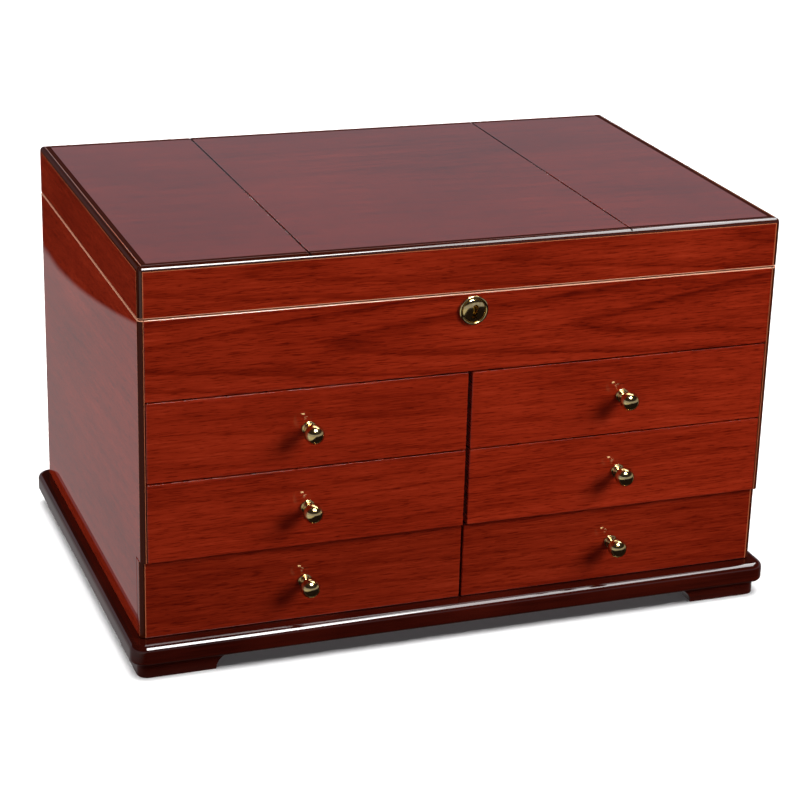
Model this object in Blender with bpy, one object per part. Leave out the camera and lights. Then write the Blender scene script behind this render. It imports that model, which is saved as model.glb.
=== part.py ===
"""Jewellery chest: a lacquered case on a moulded base with bracket feet, a hinged lid with a mirror, a lined top
compartment with a key lock under the lid, and six drawers in two columns.

Metres, +Z up. The front faces -Y. The origin is on the ground, at the middle of the chest's overall box.
"""

import math

import bmesh
import bpy
from mathutils import Matrix, Vector

# --- outer sizes of the case -----------------------------------------------------------------------------------
CASE_WIDTH = 0.430
CASE_DEPTH = 0.290
ROW_HEIGHT = 0.0534  # one row of fronts: the compartment front or a row of drawers
LID_HEIGHT = 0.033
PLINTH_HEIGHT = 0.0135
FOOT_HEIGHT = 0.0105
EDGE_RADIUS = 0.003  # round-over on the upright corners and round the top of the lid

# --- gaps ------------------------------------------------------------------------------------------------------
FIT_GAP = 0.0003  # between pieces that are housed or screwed together
GLUE_GAP = 0.00015  # between pieces that are glued and lacquered over
FRONT_GAP = 0.0010  # between one row of fronts and the next
LID_GAP = 0.0008  # between the case and the closed lid
DRAWER_SIDE_GAP = 0.0006  # between a drawer front and the lip of the side panel
DIVIDER_GAP = 0.0028  # between the left and right fronts of rows 1 and 2
BOTTOM_DIVIDER_GAP = 0.0016  # between the left and right fronts of the bottom row
RUN_GAP = 0.0006  # between a drawer box and what it runs on or past

# --- boards ----------------------------------------------------------------------------------------------------
PANEL = 0.010  # side panels and lid rails
FRONT = 0.010  # compartment front and drawer fronts of rows 1 and 2
BOTTOM_FRONT = 0.009  # drawer fronts of the bottom row
BOTTOM_RECESS = 0.004  # how far the bottom row stands back from the rows above
LIP = 0.0034  # what the side panels show beside the fronts
BACK = 0.008
FLOOR = 0.005
COMPARTMENT_FLOOR = 0.004
SHELF = 0.004
DIVIDER = 0.006
LID_PANEL = 0.006

# --- base ------------------------------------------------------------------------------------------------------
PLINTH_OVERHANG = 0.008
PLINTH_CORNER = 0.010
PLINTH_TOP_RADIUS = 0.0045
PLINTH_BOTTOM_RADIUS = 0.0025
PLINTH_FRAME = 0.045  # width of the plinth's mitred frame, seen from below
FOOT_OVERHANG = 0.003
FOOT_CORNER = 0.007
FOOT_LENGTH = 0.050
FOOT_THICKNESS = 0.012
FOOT_CURVE = 0.0105  # how far the bracket curve runs on past the foot's flat end

# --- lid -------------------------------------------------------------------------------------------------------
GROOVE_WIDTH = 0.0012
GROOVE_DEPTH = 0.0012
GROOVE_X = CASE_WIDTH / 4
MIRROR = 0.003
SURROUND_WIDTH = 0.012
SURROUND_HEIGHT = 0.008

# --- hinges ----------------------------------------------------------------------------------------------------
HINGE_X = 0.120
HINGE_WIDTH = 0.032
HINGE_LEAF_HEIGHT = 0.0135
HINGE_LEAF = 0.0012
KNUCKLE_RADIUS = 0.0024
MIDDLE_KNUCKLE = 0.010
PIN_RADIUS = 0.0010
PIN_BORE = 0.00125

# --- lock ------------------------------------------------------------------------------------------------------
LOCK_BELOW_SEAM = 0.0118
ESCUTCHEON_RADIUS = 0.0097
ESCUTCHEON_BEAD = 0.0009  # radius of the rounded rim
ESCUTCHEON_STEP = 0.0011  # height of the flat between the rim and the dome
DOME_RADIUS = 0.0078
DOME_RISE = 0.0034
SLEEVE_RADIUS = 0.0060
PLUG_RADIUS = 0.0041
KEYHOLE_RADIUS = 0.0017
KEYHOLE_HEAD = 0.0026  # how far the keyhole's round head stands above the middle of the dome
KEYHOLE_FOOT = 0.0056  # how far its flared skirt reaches below the middle
KEYHOLE_NECK_WIDTH = 0.0020
KEYHOLE_FOOT_WIDTH = 0.0036
KEYHOLE_TILT = 8  # degrees that the escutcheon leans to the right at its top
KEYHOLE_DEPTH = 0.003
LOCK_CASE_WIDTH = 0.032
LOCK_CASE_HEIGHT = 0.022
LOCK_FRONT = 0.0038  # from the front plane to the lock case
LOCK_BACK = 0.0098
BOLT_WIDTH = 0.0126
BOLT_THICKNESS = 0.0018
BOLT_FRONT = 0.0062
BOLT_HEIGHT = 0.0178
BOLT_TRAVEL = 0.005
STRIKE_WIDTH = 0.026
STRIKE = 0.0008

# --- drawers ---------------------------------------------------------------------------------------------------
KNOB_RADIUS = 0.00635
KNOB_CENTRE = 0.012  # from the front's face to the middle of the ball
KNOB_NECK_RADIUS = 0.0019
KNOB_BASE = (  # radius and height of each step from the foot of the base up to the neck
    (0.0046, 0.0003),
    (0.0046, 0.0011),
    (0.0033, 0.0015),
    (0.0031, 0.0024),
    (KNOB_NECK_RADIUS, 0.0034),
)
KNOB_STUD_RADIUS = 0.0018
KNOB_STUD_LENGTH = 0.0075
KNOB_HOLE_RADIUS = 0.0022
BOX_HEIGHT = 0.042
BOX_LENGTH = 0.245
BOX_WALL = 0.005
BOX_FLOOR = 0.003
LINING = 0.0015

# --- compartment fittings --------------------------------------------------------------------------------------
COMPARTMENT_LINER = 0.0012
LINER_DROP = 0.0015  # how far the liner's rim stops below the top of the case
PARTITION = 0.004
PARTITION_HEIGHT = 0.034
ROLL_TRAY_WIDTH = 0.130
ROLL_HEIGHT = 0.026
ROLL_COUNT = 6
ROLL_SLOT = 0.0025
ROLL_BASE = 0.006

# --- how finely round shapes are cut ---------------------------------------------------------------------------
ARC_STEPS = 5
TURN_STEPS = 20
SMALL_TURN_STEPS = 12
KNOB_TURN_STEPS = 16
BALL_STEPS = 9

# --- places that follow from the sizes -------------------------------------------------------------------------
KNOB_REACH = KNOB_CENTRE + KNOB_RADIUS
CENTRE_Y = (KNOB_REACH - PLINTH_OVERHANG) / 2  # the case's middle, so that the overall box is centred
FRONT_Y = CENTRE_Y - CASE_DEPTH / 2
BACK_Y = CENTRE_Y + CASE_DEPTH / 2
HALF_WIDTH = CASE_WIDTH / 2
INNER_HALF = HALF_WIDTH - PANEL
PLINTH_TOP = FOOT_HEIGHT + PLINTH_HEIGHT
SEAM = PLINTH_TOP + 4 * ROW_HEIGHT
CASE_TOP = SEAM - LID_GAP / 2
LID_BOTTOM = SEAM + LID_GAP / 2
LID_TOP = SEAM + LID_HEIGHT
CARCASE_Y = FRONT_Y + FRONT + FIT_GAP  # front edges of the boards behind rows 1 and 2
CARCASE_BOTTOM_Y = FRONT_Y + BOTTOM_RECESS + BOTTOM_FRONT + FIT_GAP
CARCASE_BACK_Y = BACK_Y - BACK - FIT_GAP
FLOOR_TOP = PLINTH_TOP + FIT_GAP + FLOOR
COMPARTMENT_BOTTOM = SEAM - ROW_HEIGHT + FRONT_GAP / 2
COMPARTMENT_FLOOR_TOP = COMPARTMENT_BOTTOM + COMPARTMENT_FLOOR
HINGE_Y = BACK_Y + KNUCKLE_RADIUS + FIT_GAP
LOCK_Z = SEAM - LOCK_BELOW_SEAM


def level(row):
    """Height of the joint above a row; row 0 is the compartment front and row 3 the bottom drawers."""
    return SEAM - row * ROW_HEIGHT


def remove_objects():
    for obj in list(bpy.data.objects):
        bpy.data.objects.remove(obj, do_unlink=True)


# --- materials -------------------------------------------------------------------------------------------------


def material(name, colour, roughness, metallic=0.0):
    mat = bpy.data.materials.new(name)
    mat.use_nodes = True
    shader = mat.node_tree.nodes["Principled BSDF"]
    shader.inputs["Base Color"].default_value = (*colour, 1.0)
    shader.inputs["Roughness"].default_value = roughness
    shader.inputs["Metallic"].default_value = metallic
    mat.diffuse_color = (*colour, 1.0)
    return mat


def make_materials():
    return {
        "veneer": material("veneer", (0.19, 0.025, 0.010), 0.12),
        "moulding": material("moulding", (0.075, 0.010, 0.006), 0.10),
        "carcase": material("carcase", (0.16, 0.045, 0.022), 0.45),
        "brass": material("brass", (0.72, 0.52, 0.20), 0.18, 1.0),
        "mirror": material("mirror", (0.90, 0.91, 0.92), 0.03, 1.0),
        "velvet": material("velvet", (0.62, 0.49, 0.34), 0.95),
    }


# --- mesh helpers ----------------------------------------------------------------------------------------------


def rounded_rectangle(half_x, half_y, radius, steps=ARC_STEPS):
    """Corner points of a rectangle with round corners, counter-clockwise."""
    points = []
    for quarter, (sx, sy) in enumerate(((1, 1), (-1, 1), (-1, -1), (1, -1))):
        for step in range(steps + 1):
            angle = math.pi / 2 * (quarter + step / steps)
            x = sx * (half_x - radius) + radius * math.cos(angle)
            y = sy * (half_y - radius) + radius * math.sin(angle)
            points.append((x, y))
    return points


def quarter_arc(centre, radius, start, steps=ARC_STEPS):
    """Points of a quarter circle that turns counter-clockwise from start, in degrees."""
    angles = [math.radians(start + 90 * step / steps) for step in range(steps + 1)]
    return [(centre[0] + radius * math.cos(a), centre[1] + radius * math.sin(a)) for a in angles]


def loft(loops, closed=False):
    """A solid skinned over loops of equal length; its ends are capped unless the last loop meets the first."""
    bm = bmesh.new()
    rings = [[bm.verts.new(point) for point in loop] for loop in loops]
    pairs = list(zip(rings, rings[1:]))
    if closed:
        pairs.append((rings[-1], rings[0]))
    for lower, upper in pairs:
        count = len(lower)
        for i in range(count):
            j = (i + 1) % count
            bm.faces.new((lower[i], lower[j], upper[j], upper[i]))
    if not closed:
        bm.faces.new(list(reversed(rings[0])))
        bm.faces.new(rings[-1])
    bmesh.ops.recalc_face_normals(bm, faces=bm.faces[:])
    return bm


AXES = {
    "x": lambda u, v, w: (w, u, v),
    "y": lambda u, v, w: (u, w, v),
    "z": lambda u, v, w: (u, v, w),
}


def prism(outline, low, high, axis="z"):
    """An outline of (u, v) points pushed out along an axis from low to high."""
    place = AXES[axis]
    return loft([[place(u, v, w) for u, v in outline] for w in (low, high)])


def block(low, high):
    """A box between two corners."""
    outline = [(low[0], low[1]), (high[0], low[1]), (high[0], high[1]), (low[0], high[1])]
    return prism(outline, low[2], high[2])


def cylinder(radius, low, high, axis="y", centre=(0.0, 0.0), steps=TURN_STEPS):
    angles = [2 * math.pi * i / steps for i in range(steps)]
    outline = [(centre[0] + radius * math.cos(a), centre[1] + radius * math.sin(a)) for a in angles]
    return prism(outline, low, high, axis)


def turned(profile, steps=TURN_STEPS):
    """A solid turned about the Y axis; profile holds (radius, y) from one end on the axis to the other."""
    bm = bmesh.new()
    rings = []
    for radius, y in profile:
        if radius == 0:
            rings.append([bm.verts.new((0, y, 0))])
            continue
        angles = [2 * math.pi * i / steps for i in range(steps)]
        rings.append([bm.verts.new((radius * math.cos(a), y, radius * math.sin(a))) for a in angles])
    for lower, upper in zip(rings, rings[1:]):
        for i in range(steps):
            j = (i + 1) % steps
            corners = [lower[i % len(lower)], lower[j % len(lower)], upper[j % len(upper)], upper[i % len(upper)]]
            bm.faces.new(list(dict.fromkeys(corners)))
    bmesh.ops.recalc_face_normals(bm, faces=bm.faces[:])
    return bm


def turned_ring(profile, steps=TURN_STEPS):
    """A ring turned about the Y axis; profile is a closed outline of (radius, y)."""
    loops = []
    for radius, y in profile:
        angles = [2 * math.pi * i / steps for i in range(steps)]
        loops.append([(radius * math.cos(a), y, radius * math.sin(a)) for a in angles])
    return loft(loops, closed=True)


def combine(bm, other, operation):
    """Joins, cuts or intersects one solid with another and returns the result."""
    pieces = []
    for source in (bm, other):
        mesh = bpy.data.meshes.new("work")
        source.to_mesh(mesh)
        source.free()
        pieces.append(bpy.data.objects.new("work", mesh))
        bpy.context.scene.collection.objects.link(pieces[-1])
    modifier = pieces[0].modifiers.new("work", "BOOLEAN")
    modifier.operation = operation
    modifier.object = pieces[1]
    evaluated = pieces[0].evaluated_get(bpy.context.evaluated_depsgraph_get())
    result = bmesh.new()
    result.from_mesh(evaluated.to_mesh())
    evaluated.to_mesh_clear()
    for obj in pieces:
        mesh = obj.data
        bpy.data.objects.remove(obj)
        bpy.data.meshes.remove(mesh)
    return result


def cut(bm, *cutters):
    for cutter in cutters:
        bm = combine(bm, cutter, "DIFFERENCE")
    return bm


def join(bm, *others):
    for other in others:
        bm = combine(bm, other, "UNION")
    return bm


def shift(bm, x=0.0, y=0.0, z=0.0):
    bmesh.ops.translate(bm, vec=Vector((x, y, z)), verts=bm.verts[:])
    return bm


# --- objects ---------------------------------------------------------------------------------------------------


def empty(name, location):
    obj = bpy.data.objects.new(name, None)
    obj.location = location
    bpy.context.scene.collection.objects.link(obj)
    return obj


def piece(name, shape, mat, at=(0.0, 0.0, 0.0), parent=None, turn=0.0):
    """Adds a named solid. shape is a bmesh or a shared mesh, and at is the world place of its own origin."""
    mesh = shape
    if isinstance(shape, bmesh.types.BMesh):
        mesh = bpy.data.meshes.new(name)
        shape.to_mesh(mesh)
        shape.free()
        mesh.materials.append(mat)
        mesh.shade_smooth()
        mesh.set_sharp_from_angle(angle=math.radians(35))
    obj = bpy.data.objects.new(name, mesh)
    bpy.context.scene.collection.objects.link(obj)
    obj.location = Vector(at)
    obj.rotation_euler = (0.0, 0.0, turn)
    if parent is not None:
        obj.parent = parent
        obj.location = Vector(at) - parent.location
    return obj


# --- base ------------------------------------------------------------------------------------------------------


def plinth(mats):
    """A frame with a rounded moulding round its outside; its origin is the middle of its top."""
    top = PLINTH_TOP_RADIUS
    bottom = PLINTH_BOTTOM_RADIUS
    outside = [(bottom - x, z) for x, z in quarter_arc((0.0, bottom), bottom, 270)]
    outside += [(top - x, z) for x, z in quarter_arc((0.0, PLINTH_HEIGHT - top), top, 0)]
    loops = []
    for inset, z in outside:
        half_x = HALF_WIDTH + PLINTH_OVERHANG - inset
        half_y = CASE_DEPTH / 2 + PLINTH_OVERHANG - inset
        loops.append([(x, y, z) for x, y in rounded_rectangle(half_x, half_y, PLINTH_CORNER - inset)])
    for z in (PLINTH_HEIGHT, 0.0):
        half_x = HALF_WIDTH + PLINTH_OVERHANG - PLINTH_FRAME
        half_y = CASE_DEPTH / 2 + PLINTH_OVERHANG - PLINTH_FRAME
        loops.append([(x, y, z) for x, y in rounded_rectangle(half_x, half_y, EDGE_RADIUS)])
    bm = loft(loops, closed=True)
    piece("base_plinth", bm, mats["moulding"], (0.0, CENTRE_Y, FOOT_HEIGHT))


def foot_leg():
    """One leg of a bracket foot along +X from its outer corner, with its face on y = 0."""
    height = FOOT_HEIGHT - FIT_GAP
    outline = [(0.0, 0.0)]
    for step in range(ARC_STEPS + 1):
        angle = math.pi / 2 * step / ARC_STEPS
        x = FOOT_LENGTH + FOOT_CURVE * (1 - math.cos(angle))
        outline.append((x, height * math.sin(angle)))
    outline.append((0.0, height))
    return prism(outline, 0.0, FOOT_THICKNESS, "y")


def foot_mesh():
    """The front left foot, with its origin at the outer corner on the ground."""
    side_leg = foot_leg()
    swap = Matrix(((0, 1, 0, 0), (1, 0, 0, 0), (0, 0, 1, 0), (0, 0, 0, 1)))
    bmesh.ops.transform(side_leg, matrix=swap, verts=side_leg.verts[:])
    bmesh.ops.reverse_faces(side_leg, faces=side_leg.faces[:])
    reach = FOOT_LENGTH + FOOT_CURVE + FOOT_THICKNESS
    corner = rounded_rectangle(reach, reach, FOOT_CORNER)
    column = prism([(x + reach, y + reach) for x, y in corner], -FOOT_HEIGHT, 2 * FOOT_HEIGHT)
    return combine(join(foot_leg(), side_leg), column, "INTERSECT")


def feet(mats):
    """Four bracket feet that share one mesh, each turned a quarter from the next."""
    reach_x = HALF_WIDTH + FOOT_OVERHANG
    reach_y = CASE_DEPTH / 2 + FOOT_OVERHANG
    corners = (
        ("foot_front_left", -1, -1, 0),
        ("foot_front_right", 1, -1, 1),
        ("foot_back_right", 1, 1, 2),
        ("foot_back_left", -1, 1, 3),
    )
    shape = foot_mesh()
    for name, sx, sy, quarter in corners:
        at = (sx * reach_x, CENTRE_Y + sy * reach_y, 0.0)
        foot = piece(name, shape, mats["moulding"], at, turn=math.pi / 2 * quarter)
        shape = foot.data


# --- case ------------------------------------------------------------------------------------------------------


def side_panel(name, side, mats):
    """A side panel with a thin lip at the front that the fronts stand between, cut back behind the bottom row."""
    front = -CASE_DEPTH / 2
    back = CASE_DEPTH / 2
    shoulder = CARCASE_Y - CENTRE_Y
    outline = quarter_arc((EDGE_RADIUS, front + EDGE_RADIUS), EDGE_RADIUS, 180)
    outline += [(LIP, front), (LIP, shoulder), (PANEL, shoulder), (PANEL, back)]
    outline += quarter_arc((EDGE_RADIUS, back - EDGE_RADIUS), EDGE_RADIUS, 90)
    bottom = PLINTH_TOP + FIT_GAP
    height = CASE_TOP - bottom
    bm = prism(outline, 0.0, height)
    notch_back = CARCASE_BOTTOM_Y - CENTRE_Y
    notch_top = level(3) + FRONT_GAP / 2 - bottom
    bm = cut(bm, block((-PANEL, front - PANEL, -PANEL), (2 * PANEL, notch_back, notch_top)))
    if side > 0:
        bmesh.ops.transform(bm, matrix=Matrix.Scale(-1, 4, (1, 0, 0)), verts=bm.verts[:])
        bmesh.ops.reverse_faces(bm, faces=bm.faces[:])
    piece(name, bm, mats["veneer"], (side * HALF_WIDTH, CENTRE_Y, bottom))


def back_panel(mats):
    half = INNER_HALF - GLUE_GAP
    bottom = PLINTH_TOP + FIT_GAP
    bm = block((-half, -BACK, 0.0), (half, 0.0, CASE_TOP - bottom))
    piece("back_panel", bm, mats["veneer"], (0.0, BACK_Y, bottom))


def case_floor(mats):
    half = INNER_HALF - FIT_GAP
    bm = block((-half, 0.0, 0.0), (half, CARCASE_BACK_Y - CARCASE_BOTTOM_Y, FLOOR))
    piece("case_floor", bm, mats["carcase"], (0.0, CARCASE_BOTTOM_Y, PLINTH_TOP + FIT_GAP))


def centre_divider(mats):
    """The upright board between the two columns, slotted from the back for the two shelves."""
    middle = (CARCASE_BOTTOM_Y + CARCASE_BACK_Y) / 2
    top = COMPARTMENT_BOTTOM - FIT_GAP
    outline = [(CARCASE_BOTTOM_Y, FLOOR_TOP + FIT_GAP), (CARCASE_BACK_Y, FLOOR_TOP + FIT_GAP)]
    for row in (3, 2):
        low = level(row) - SHELF / 2 - FIT_GAP
        high = level(row) + SHELF / 2 + FIT_GAP
        outline += [(CARCASE_BACK_Y, low), (middle, low), (middle, high), (CARCASE_BACK_Y, high)]
    step = level(3) + FRONT_GAP / 2
    outline += [(CARCASE_BACK_Y, top), (CARCASE_Y, top), (CARCASE_Y, step), (CARCASE_BOTTOM_Y, step)]
    bm = prism(outline, -DIVIDER / 2, DIVIDER / 2, "x")
    piece("centre_divider", bm, mats["carcase"])


def shelf(name, row, front, mats):
    """A shelf under one row of drawers, slotted from the front so that it crosses the centre divider."""
    half = INNER_HALF - FIT_GAP
    slot = DIVIDER / 2 + FIT_GAP
    middle = (CARCASE_BOTTOM_Y + CARCASE_BACK_Y) / 2 + FIT_GAP - front
    outline = [(-half, 0.0), (-slot, 0.0), (-slot, middle), (slot, middle), (slot, 0.0), (half, 0.0)]
    outline += [(half, CARCASE_BACK_Y - front), (-half, CARCASE_BACK_Y - front)]
    piece(name, prism(outline, -SHELF / 2, SHELF / 2), mats["carcase"], (0.0, front, level(row)))


def compartment_floor(mats):
    half = INNER_HALF - FIT_GAP
    bm = block((-half, 0.0, 0.0), (half, CARCASE_BACK_Y - CARCASE_Y, COMPARTMENT_FLOOR))
    piece("compartment_floor", bm, mats["carcase"], (0.0, CARCASE_Y, COMPARTMENT_BOTTOM))


def compartment_front(mats):
    """The fixed front above the drawers, with the lock's hole and the pocket for the lock case."""
    half = HALF_WIDTH - LIP - GLUE_GAP
    bm = block((-half, 0.0, COMPARTMENT_BOTTOM), (half, FRONT, CASE_TOP))
    hole = cylinder(SLEEVE_RADIUS + FIT_GAP, -PANEL, LOCK_FRONT, "y", (0.0, LOCK_Z))
    pocket_half = LOCK_CASE_WIDTH / 2 + FIT_GAP
    pocket_low = CASE_TOP - FIT_GAP - LOCK_CASE_HEIGHT - FIT_GAP
    pocket = block((-pocket_half, LOCK_FRONT - FIT_GAP, pocket_low), (pocket_half, 2 * FRONT, CASE_TOP + PANEL))
    piece("compartment_front", shift(cut(bm, pocket, hole), z=-LOCK_Z), mats["veneer"], (0.0, FRONT_Y, LOCK_Z))


# --- compartment fittings --------------------------------------------------------------------------------------


def tray(half_x, length, height, wall, floor):
    """An open tray that runs back from y = 0, with its underside on z = 0."""
    outer = block((-half_x, 0.0, 0.0), (half_x, length, height))
    inner = block((wall - half_x, wall, floor), (half_x - wall, length - wall, 2 * height))
    return cut(outer, inner)


def compartment_liner(mats):
    """The thin velvet-covered tray that lines the top compartment."""
    half = INNER_HALF - FIT_GAP
    length = CARCASE_BACK_Y - CARCASE_Y
    bottom = COMPARTMENT_FLOOR_TOP + FIT_GAP
    height = CASE_TOP - bottom - LINER_DROP
    bm = tray(half, length, height, COMPARTMENT_LINER, COMPARTMENT_LINER)
    piece("compartment_liner", bm, mats["velvet"], (0.0, CARCASE_Y, bottom))


def liner_inside():
    """Lowest and highest corners of the space inside the liner."""
    low = (
        COMPARTMENT_LINER + FIT_GAP - INNER_HALF,
        CARCASE_Y + COMPARTMENT_LINER,
        COMPARTMENT_FLOOR_TOP + FIT_GAP + COMPARTMENT_LINER,
    )
    high = (-low[0], CARCASE_BACK_Y - COMPARTMENT_LINER, CASE_TOP)
    return low, high


def ring_rolls(mats):
    """The block of ring rolls at the left of the compartment, with a slot between each roll and the next."""
    low, high = liner_inside()
    bottom = low[2] + FIT_GAP
    length = high[1] - low[1] - 2 * FIT_GAP
    pitch = length / ROLL_COUNT
    radius = (pitch - ROLL_SLOT) / 2
    outline = [(0.0, 0.0), (length, 0.0)]
    for roll in reversed(range(ROLL_COUNT)):
        middle = pitch * (roll + 0.5)
        for step in range(ARC_STEPS + 1):
            angle = math.pi * step / ARC_STEPS
            y = middle + radius * math.cos(angle)
            outline.append((y, ROLL_BASE + (ROLL_HEIGHT - ROLL_BASE) * math.sin(angle)))
    bm = prism(outline, 0.0, ROLL_TRAY_WIDTH, "x")
    piece("ring_rolls", bm, mats["velvet"], (low[0] + FIT_GAP, low[1] + FIT_GAP, bottom))


def partition(mats):
    """The fixed partition, T-shaped in plan, that divides the rest of the compartment into three."""
    low, high = liner_inside()
    bottom = low[2] + FIT_GAP
    left = low[0] + FIT_GAP + ROLL_TRAY_WIDTH + FIT_GAP
    right = high[0] - FIT_GAP
    front = low[1] + FIT_GAP
    back = high[1] - FIT_GAP
    middle = (front + back) / 2
    centre = (left + right) / 2
    outline = [(left, front), (left + PARTITION, front), (left + PARTITION, middle - PARTITION / 2)]
    outline += [(right, middle - PARTITION / 2), (right, middle + PARTITION / 2)]
    outline += [(centre + PARTITION / 2, middle + PARTITION / 2), (centre + PARTITION / 2, back)]
    outline += [(centre - PARTITION / 2, back), (centre - PARTITION / 2, middle + PARTITION / 2)]
    outline += [(left + PARTITION, middle + PARTITION / 2), (left + PARTITION, back), (left, back)]
    local = [(x - left, y - front) for x, y in outline]
    bm = prism(local, 0.0, PARTITION_HEIGHT)
    piece("compartment_partition", bm, mats["velvet"], (left, front, bottom))


# --- lid -------------------------------------------------------------------------------------------------------


def lid_envelope():
    """The lid's outer shape: upright corners and top edges rounded, with its origin at the middle of its bottom."""
    height = LID_TOP - LID_BOTTOM
    half_y = CASE_DEPTH / 2
    corner = rounded_rectangle(HALF_WIDTH, half_y, EDGE_RADIUS)
    loops = [[(x, y, 0.0) for x, y in corner], [(x, y, height - EDGE_RADIUS) for x, y in corner]]
    for step in range(1, ARC_STEPS + 1):
        angle = math.pi / 2 * step / ARC_STEPS
        inset = EDGE_RADIUS * (1 - math.cos(angle))
        z = height - EDGE_RADIUS * (1 - math.sin(angle))
        radius = EDGE_RADIUS - inset + GLUE_GAP
        loops.append([(x, y, z) for x, y in rounded_rectangle(HALF_WIDTH - inset, half_y - inset, radius)])
    return loft(loops)


def groove_cutters():
    height = LID_TOP - LID_BOTTOM
    cutters = []
    for side in (-1, 1):
        low = (side * GROOVE_X - GROOVE_WIDTH / 2, -CASE_DEPTH, height - GROOVE_DEPTH)
        high = (side * GROOVE_X + GROOVE_WIDTH / 2, CASE_DEPTH, height + PANEL)
        cutters.append(block(low, high))
    return cutters


def rail_wedge(side_x, side_y):
    """The block that a mitred rail is cut from; one of side_x and side_y is 0 and the other -1 or 1."""
    outer_x = HALF_WIDTH + PANEL
    outer_y = CASE_DEPTH / 2 + PANEL
    inner_x = HALF_WIDTH - PANEL
    inner_y = CASE_DEPTH / 2 - PANEL
    if side_y:
        short = inner_x - GLUE_GAP
        outline = [(-short, side_y * inner_y), (short, side_y * inner_y)]
        outline += [(outer_x - GLUE_GAP, side_y * outer_y), (GLUE_GAP - outer_x, side_y * outer_y)]
    else:
        short = inner_y - GLUE_GAP
        outline = [(side_x * inner_x, -short), (side_x * inner_x, short)]
        outline += [(side_x * outer_x, outer_y - GLUE_GAP), (side_x * outer_x, GLUE_GAP - outer_y)]
    return prism(outline, -PANEL, LID_HEIGHT + PANEL)


def rebate_cutter():
    """The recess round the top of the rails that the lid's top panel is glued into."""
    height = LID_TOP - LID_BOTTOM
    edge = LIP
    half_x = HALF_WIDTH - edge
    half_y = CASE_DEPTH / 2 - edge
    return block((-half_x, -half_y, height - LID_PANEL - GLUE_GAP), (half_x, half_y, height + PANEL))


def strike_cutters():
    """The shallow bed for the strike plate and the deeper pocket for the bolt, in the front rail's underside."""
    front = -CASE_DEPTH / 2
    half = STRIKE_WIDTH / 2 + FIT_GAP
    bed = block((-half, front + LOCK_FRONT - FIT_GAP, -PANEL), (half, front + 2 * PANEL, STRIKE + FIT_GAP))
    half = BOLT_WIDTH / 2 + 4 * FIT_GAP
    low_y = front + BOLT_FRONT - 2 * FIT_GAP
    high_y = front + BOLT_FRONT + BOLT_THICKNESS + 2 * FIT_GAP
    pocket = block((-half, low_y, -PANEL), (half, high_y, BOLT_TRAVEL + 4 * FIT_GAP))
    return [bed, pocket]


def lid_rails(mats, lid):
    rails = (
        ("lid_rail_front", 0, -1),
        ("lid_rail_back", 0, 1),
        ("lid_rail_left", -1, 0),
        ("lid_rail_right", 1, 0),
    )
    for name, side_x, side_y in rails:
        bm = combine(lid_envelope(), rail_wedge(side_x, side_y), "INTERSECT")
        bm = cut(bm, rebate_cutter())
        if side_y:
            bm = cut(bm, *groove_cutters())
        if side_y < 0:
            bm = cut(bm, *strike_cutters())
        piece(name, bm, mats["veneer"], (0.0, CENTRE_Y, LID_BOTTOM), lid)


def lid_top_panel(mats, lid):
    """The top board with its two grooves, inside the rounded rails."""
    half_x = HALF_WIDTH - LIP - GLUE_GAP
    half_y = CASE_DEPTH / 2 - LIP - GLUE_GAP
    outline = [(-half_x, -LID_PANEL), (half_x, -LID_PANEL), (half_x, 0.0)]
    for side in (1, -1):
        right = side * GROOVE_X + GROOVE_WIDTH / 2
        left = side * GROOVE_X - GROOVE_WIDTH / 2
        outline += [(right, 0.0), (right, -GROOVE_DEPTH), (left, -GROOVE_DEPTH), (left, 0.0)]
    outline.append((-half_x, 0.0))
    piece("lid_top_panel", prism(outline, -half_y, half_y, "y"), mats["veneer"], (0.0, CENTRE_Y, LID_TOP), lid)


def mirror_and_surround(mats, lid):
    half_x = HALF_WIDTH - PANEL - FIT_GAP
    half_y = CASE_DEPTH / 2 - PANEL - FIT_GAP
    top = LID_TOP - LID_PANEL - GLUE_GAP - FIT_GAP
    bm = block((-half_x, -half_y, -MIRROR), (half_x, half_y, 0.0))
    piece("lid_mirror", bm, mats["mirror"], (0.0, CENTRE_Y, top), lid)
    loops = []
    rim = ((0.0, 0.0), (0.0, -SURROUND_HEIGHT), (SURROUND_WIDTH, -SURROUND_HEIGHT / 2), (SURROUND_WIDTH, 0.0))
    for inset, z in rim:
        corner = rounded_rectangle(half_x - inset, half_y - inset, EDGE_RADIUS, 1)
        loops.append([(x, y, z) for x, y in corner])
    bm = loft(loops, closed=True)
    piece("mirror_surround", bm, mats["velvet"], (0.0, CENTRE_Y, top - MIRROR - FIT_GAP), lid)


# --- hinges ----------------------------------------------------------------------------------------------------


def hinge_leaf(notches, up):
    """A leaf rolled round the pin, whose axis is the X axis; notches leave room for the other leaf's knuckles."""
    half = HINGE_WIDTH / 2
    near = -KNUCKLE_RADIUS
    start = math.pi + math.acos(1 - HINGE_LEAF / KNUCKLE_RADIUS)
    outline = [(near, -HINGE_LEAF_HEIGHT), (near + HINGE_LEAF, -HINGE_LEAF_HEIGHT)]
    for step in range(SMALL_TURN_STEPS + 1):
        angle = start + (3 * math.pi - start) * step / SMALL_TURN_STEPS
        outline.append((KNUCKLE_RADIUS * math.cos(angle), KNUCKLE_RADIUS * math.sin(angle)))
    bm = prism(outline, -half, half, "x")
    clear = KNUCKLE_RADIUS + FIT_GAP
    for low, high in notches:
        bm = cut(bm, block((low, -2 * clear, -clear), (high, 2 * clear, 2 * clear)))
    bm = cut(bm, cylinder(PIN_BORE, -HINGE_WIDTH, HINGE_WIDTH, "x", steps=SMALL_TURN_STEPS))
    if up:
        bmesh.ops.transform(bm, matrix=Matrix.Scale(-1, 4, (0, 0, 1)), verts=bm.verts[:])
        bmesh.ops.reverse_faces(bm, faces=bm.faces[:])
    return bm


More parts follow.
